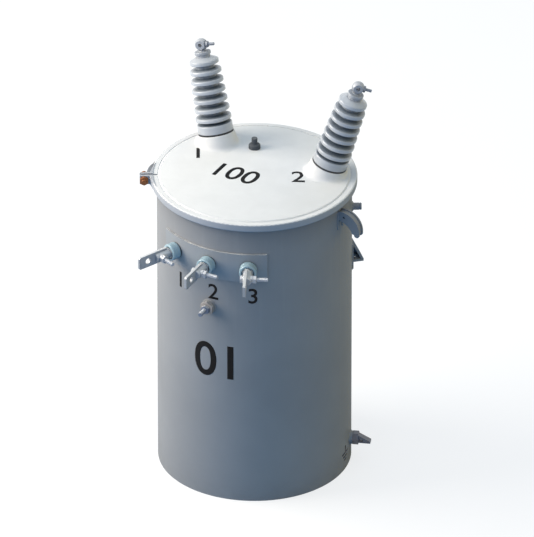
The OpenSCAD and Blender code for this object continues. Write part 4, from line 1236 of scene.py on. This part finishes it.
def set_camera(stage):
    """A long lens at the photograph's angle, with the lid's middle where it lies in that frame."""
    right, up, back = view_axes(stage.azimuth, stage.elevation)
    lens = bpy.data.cameras.new("photo_camera")
    lens.lens = stage.lens
    lens.sensor_fit = "VERTICAL"
    lens.sensor_height = SENSOR
    field = PHOTO_H / PHOTO_PX_PER_M
    distance = field * stage.lens / lens.sensor_height
    aim = Vector((0, 0, BAND_HIGH))
    aim += right * ((PHOTO_W / 2 - PHOTO_LID_X) / PHOTO_PX_PER_M)
    aim += up * ((PHOTO_LID_Y - PHOTO_H / 2) / PHOTO_PX_PER_M)
    lens.clip_end = distance * 4
    camera = bpy.data.objects.new("photo_camera", lens)
    turn = Matrix((right, up, back)).transposed().to_4x4()
    camera.matrix_world = Matrix.Translation(aim + back * distance) @ turn
    link(camera)
    bpy.context.scene.camera = camera


def add_softbox(name, power, size, place, tint):
    """A square lamp that looks at the middle of the tank."""
    light = bpy.data.lights.new(name, "AREA")
    light.energy = power
    light.size = size
    light.color = tint
    lamp = bpy.data.objects.new(name, light)
    lamp.location = place
    lamp.rotation_euler = (LIGHTS_AIM - place).to_track_quat("-Z", "Y").to_euler()
    link(lamp)


def set_lights(stage):
    """A large lamp high on the camera's left and a weak one overhead."""
    right, _, front = view_axes(stage.azimuth, 0.0)
    left = -right * math.cos(KEY_BEHIND) - front * math.sin(KEY_BEHIND)
    key = left * KEY_AWAY + Vector((0, 0, KEY_HIGH))
    add_softbox("key_softbox", stage.key, KEY_SIZE, key, stage.key_tint)
    add_softbox("top_softbox", stage.top, TOP_SIZE, TOP_AT, WHITE)


def seen_directly(start):
    """1 for rays that show the background itself, in view or in a reflection."""
    path = start.node("ShaderNodeLightPath", output="Is Camera Ray")
    rays = path.socket.node.outputs
    glossy = Term(start.tree, rays["Is Glossy Ray"])
    clear = Term(start.tree, rays["Is Transmission Ray"])
    return path.most(glossy).most(clear)


def set_world(stage):
    """Soft surrounding light: warm grey on the left, blue in front and behind, yellow on the
    right and pale above. Where it is seen directly it is white."""
    world = bpy.data.worlds.new("studio")
    world.use_nodes = True
    tree = world.node_tree
    tree.nodes.clear()
    start = Term(tree)
    towards = start.node("ShaderNodeTexCoord", output="Generated")
    right, _, _ = view_axes(stage.azimuth, 0.0)
    aside = towards.along(right).ramp(-1.0, 1.0)
    front = aside.ramp(0.0, 0.55).blend(rgba(stage.left), rgba(stage.front))
    sides = aside.ramp(0.72, 1.0).blend(front, rgba(stage.right))
    light = towards.part("Z").ramp(0.1, 0.9).blend(sides, rgba(stage.above))
    shown = seen_directly(start).blend(light, rgba(WHITE))
    background = start.node("ShaderNodeBackground", sockets={"Color": shown, "Strength": 1.0})
    start.node("ShaderNodeOutputWorld", sockets={"Surface": background})
    bpy.context.scene.world = world


def set_floor(stage):
    """A plain white floor that keeps the shadow and throws a little bluish light back up."""
    data = bpy.data.meshes.new("floor")
    far = FLOOR_REACH
    corners = [(-far, -far, 0), (far, -far, 0), (far, far, 0), (-far, far, 0)]
    data.from_pydata(corners, [], [(0, 1, 2, 3)])
    f = Finish("Studio floor")
    grain = f.place.noise(3.0, 2.0).ramp(0.0, 1.0, 0.97, 1.0)
    pale = grain.blend(rgba(stage.floor_dark), rgba(stage.floor_pale))
    seen = seen_directly(f.start)
    f.set(Base_Color=seen.blend(rgba(stage.bounce), pale), Roughness=0.9, Specular_IOR_Level=0.0)
    glow = seen.blend(rgba(BLACK), rgba(stage.floor_glow))
    f.set(Emission_Color=glow, Emission_Strength=1.0)
    data.materials.append(f.material)
    floor = bpy.data.objects.new("floor", data)
    link(floor)


# Operators


class TRANSFORMER_OT_tank(bpy.types.Operator):
    """Paint the tank, round its plates and lay the weld beads"""

    bl_idname = "transformer.tank"
    bl_label = "Tank"
    bl_options = {"REGISTER", "UNDO"}

    def execute(self, context):
        make_tank()
        return {"FINISHED"}


class TRANSFORMER_OT_lid(bpy.types.Operator):
    """Make the pressed lid, its gasket and its plug"""

    bl_idname = "transformer.lid"
    bl_label = "Lid"
    bl_options = {"REGISTER", "UNDO"}

    def execute(self, context):
        make_lid()
        return {"FINISHED"}


class TRANSFORMER_OT_band(bpy.types.Operator):
    """Make the clamp band and its draw bolt"""

    bl_idname = "transformer.band"
    bl_label = "Clamp band"
    bl_options = {"REGISTER", "UNDO"}

    def execute(self, context):
        make_band()
        return {"FINISHED"}


class TRANSFORMER_OT_hv_bushings(bpy.types.Operator):
    """Make the shedded bushings and their terminals"""

    bl_idname = "transformer.hv_bushings"
    bl_label = "High-voltage bushings"
    bl_options = {"REGISTER", "UNDO"}

    def execute(self, context):
        make_hv_bushings()
        return {"FINISHED"}


class TRANSFORMER_OT_lv_bushings(bpy.types.Operator):
    """Make the short bushings and their clamp terminals"""

    bl_idname = "transformer.lv_bushings"
    bl_label = "Low-voltage bushings"
    bl_options = {"REGISTER", "UNDO"}

    def execute(self, context):
        make_lv_bushings()
        return {"FINISHED"}


class TRANSFORMER_OT_wall_fittings(bpy.types.Operator):
    """Make the neutral clamp, the earth clamp and the relief valve"""

    bl_idname = "transformer.wall_fittings"
    bl_label = "Wall fittings"
    bl_options = {"REGISTER", "UNDO"}

    def execute(self, context):
        make_wall_fittings()
        return {"FINISHED"}


class TRANSFORMER_OT_numbers(bpy.types.Operator):
    """Paint plain numbers at the terminals, on the lid and on the tank, and an earth sign"""

    bl_idname = "transformer.numbers"
    bl_label = "Painted numbers"
    bl_options = {"REGISTER", "UNDO"}

    def execute(self, context):
        paint_numbers()
        return {"FINISHED"}


class TRANSFORMER_OT_stage(bpy.types.Operator):
    """Set the camera, the surrounding light, the floor and the soft lights"""

    bl_idname = "transformer.stage"
    bl_label = "Stage"
    bl_options = {"REGISTER", "UNDO"}

    def execute(self, context):
        stage = context.scene.transformer_stage
        set_camera(stage)
        set_world(stage)
        set_floor(stage)
        set_lights(stage)
        context.scene.view_settings.view_transform = "Standard"
        return {"FINISHED"}


class TRANSFORMER_PT_panel(bpy.types.Panel):
    """Lists the pieces and what can be changed on them"""

    bl_idname = "TRANSFORMER_PT_panel"
    bl_label = "Transformer"
    bl_space_type = "VIEW_3D"
    bl_region_type = "UI"
    bl_category = "Transformer"

    def draw(self, context):
        for operator in OPERATORS:
            self.layout.operator(operator.bl_idname)
        for name, group in GROUPS.items():
            for value in group.__annotations__:
                self.layout.prop(getattr(context.scene, name), value)


GROUPS = {
    "transformer_sizes": TransformerSizes,
    "transformer_colours": TransformerColours,
    "transformer_stage": TransformerStage,
}
OPERATORS = (
    TRANSFORMER_OT_tank,
    TRANSFORMER_OT_lid,
    TRANSFORMER_OT_band,
    TRANSFORMER_OT_hv_bushings,
    TRANSFORMER_OT_lv_bushings,
    TRANSFORMER_OT_wall_fittings,
    TRANSFORMER_OT_numbers,
    TRANSFORMER_OT_stage,
)


def register():
    for kind in (*GROUPS.values(), *OPERATORS, TRANSFORMER_PT_panel):
        bpy.utils.register_class(kind)
    for name, group in GROUPS.items():
        setattr(bpy.types.Scene, name, bpy.props.PointerProperty(type=group))


def unregister():
    for name in GROUPS:
        delattr(bpy.types.Scene, name)
    for kind in (TRANSFORMER_PT_panel, *OPERATORS, *GROUPS.values()):
        bpy.utils.unregister_class(kind)


def main():
    register()
    for operator in OPERATORS:
        getattr(bpy.ops.transformer, operator.bl_idname.split(".")[1])()


if __name__ == "__main__":
    main()
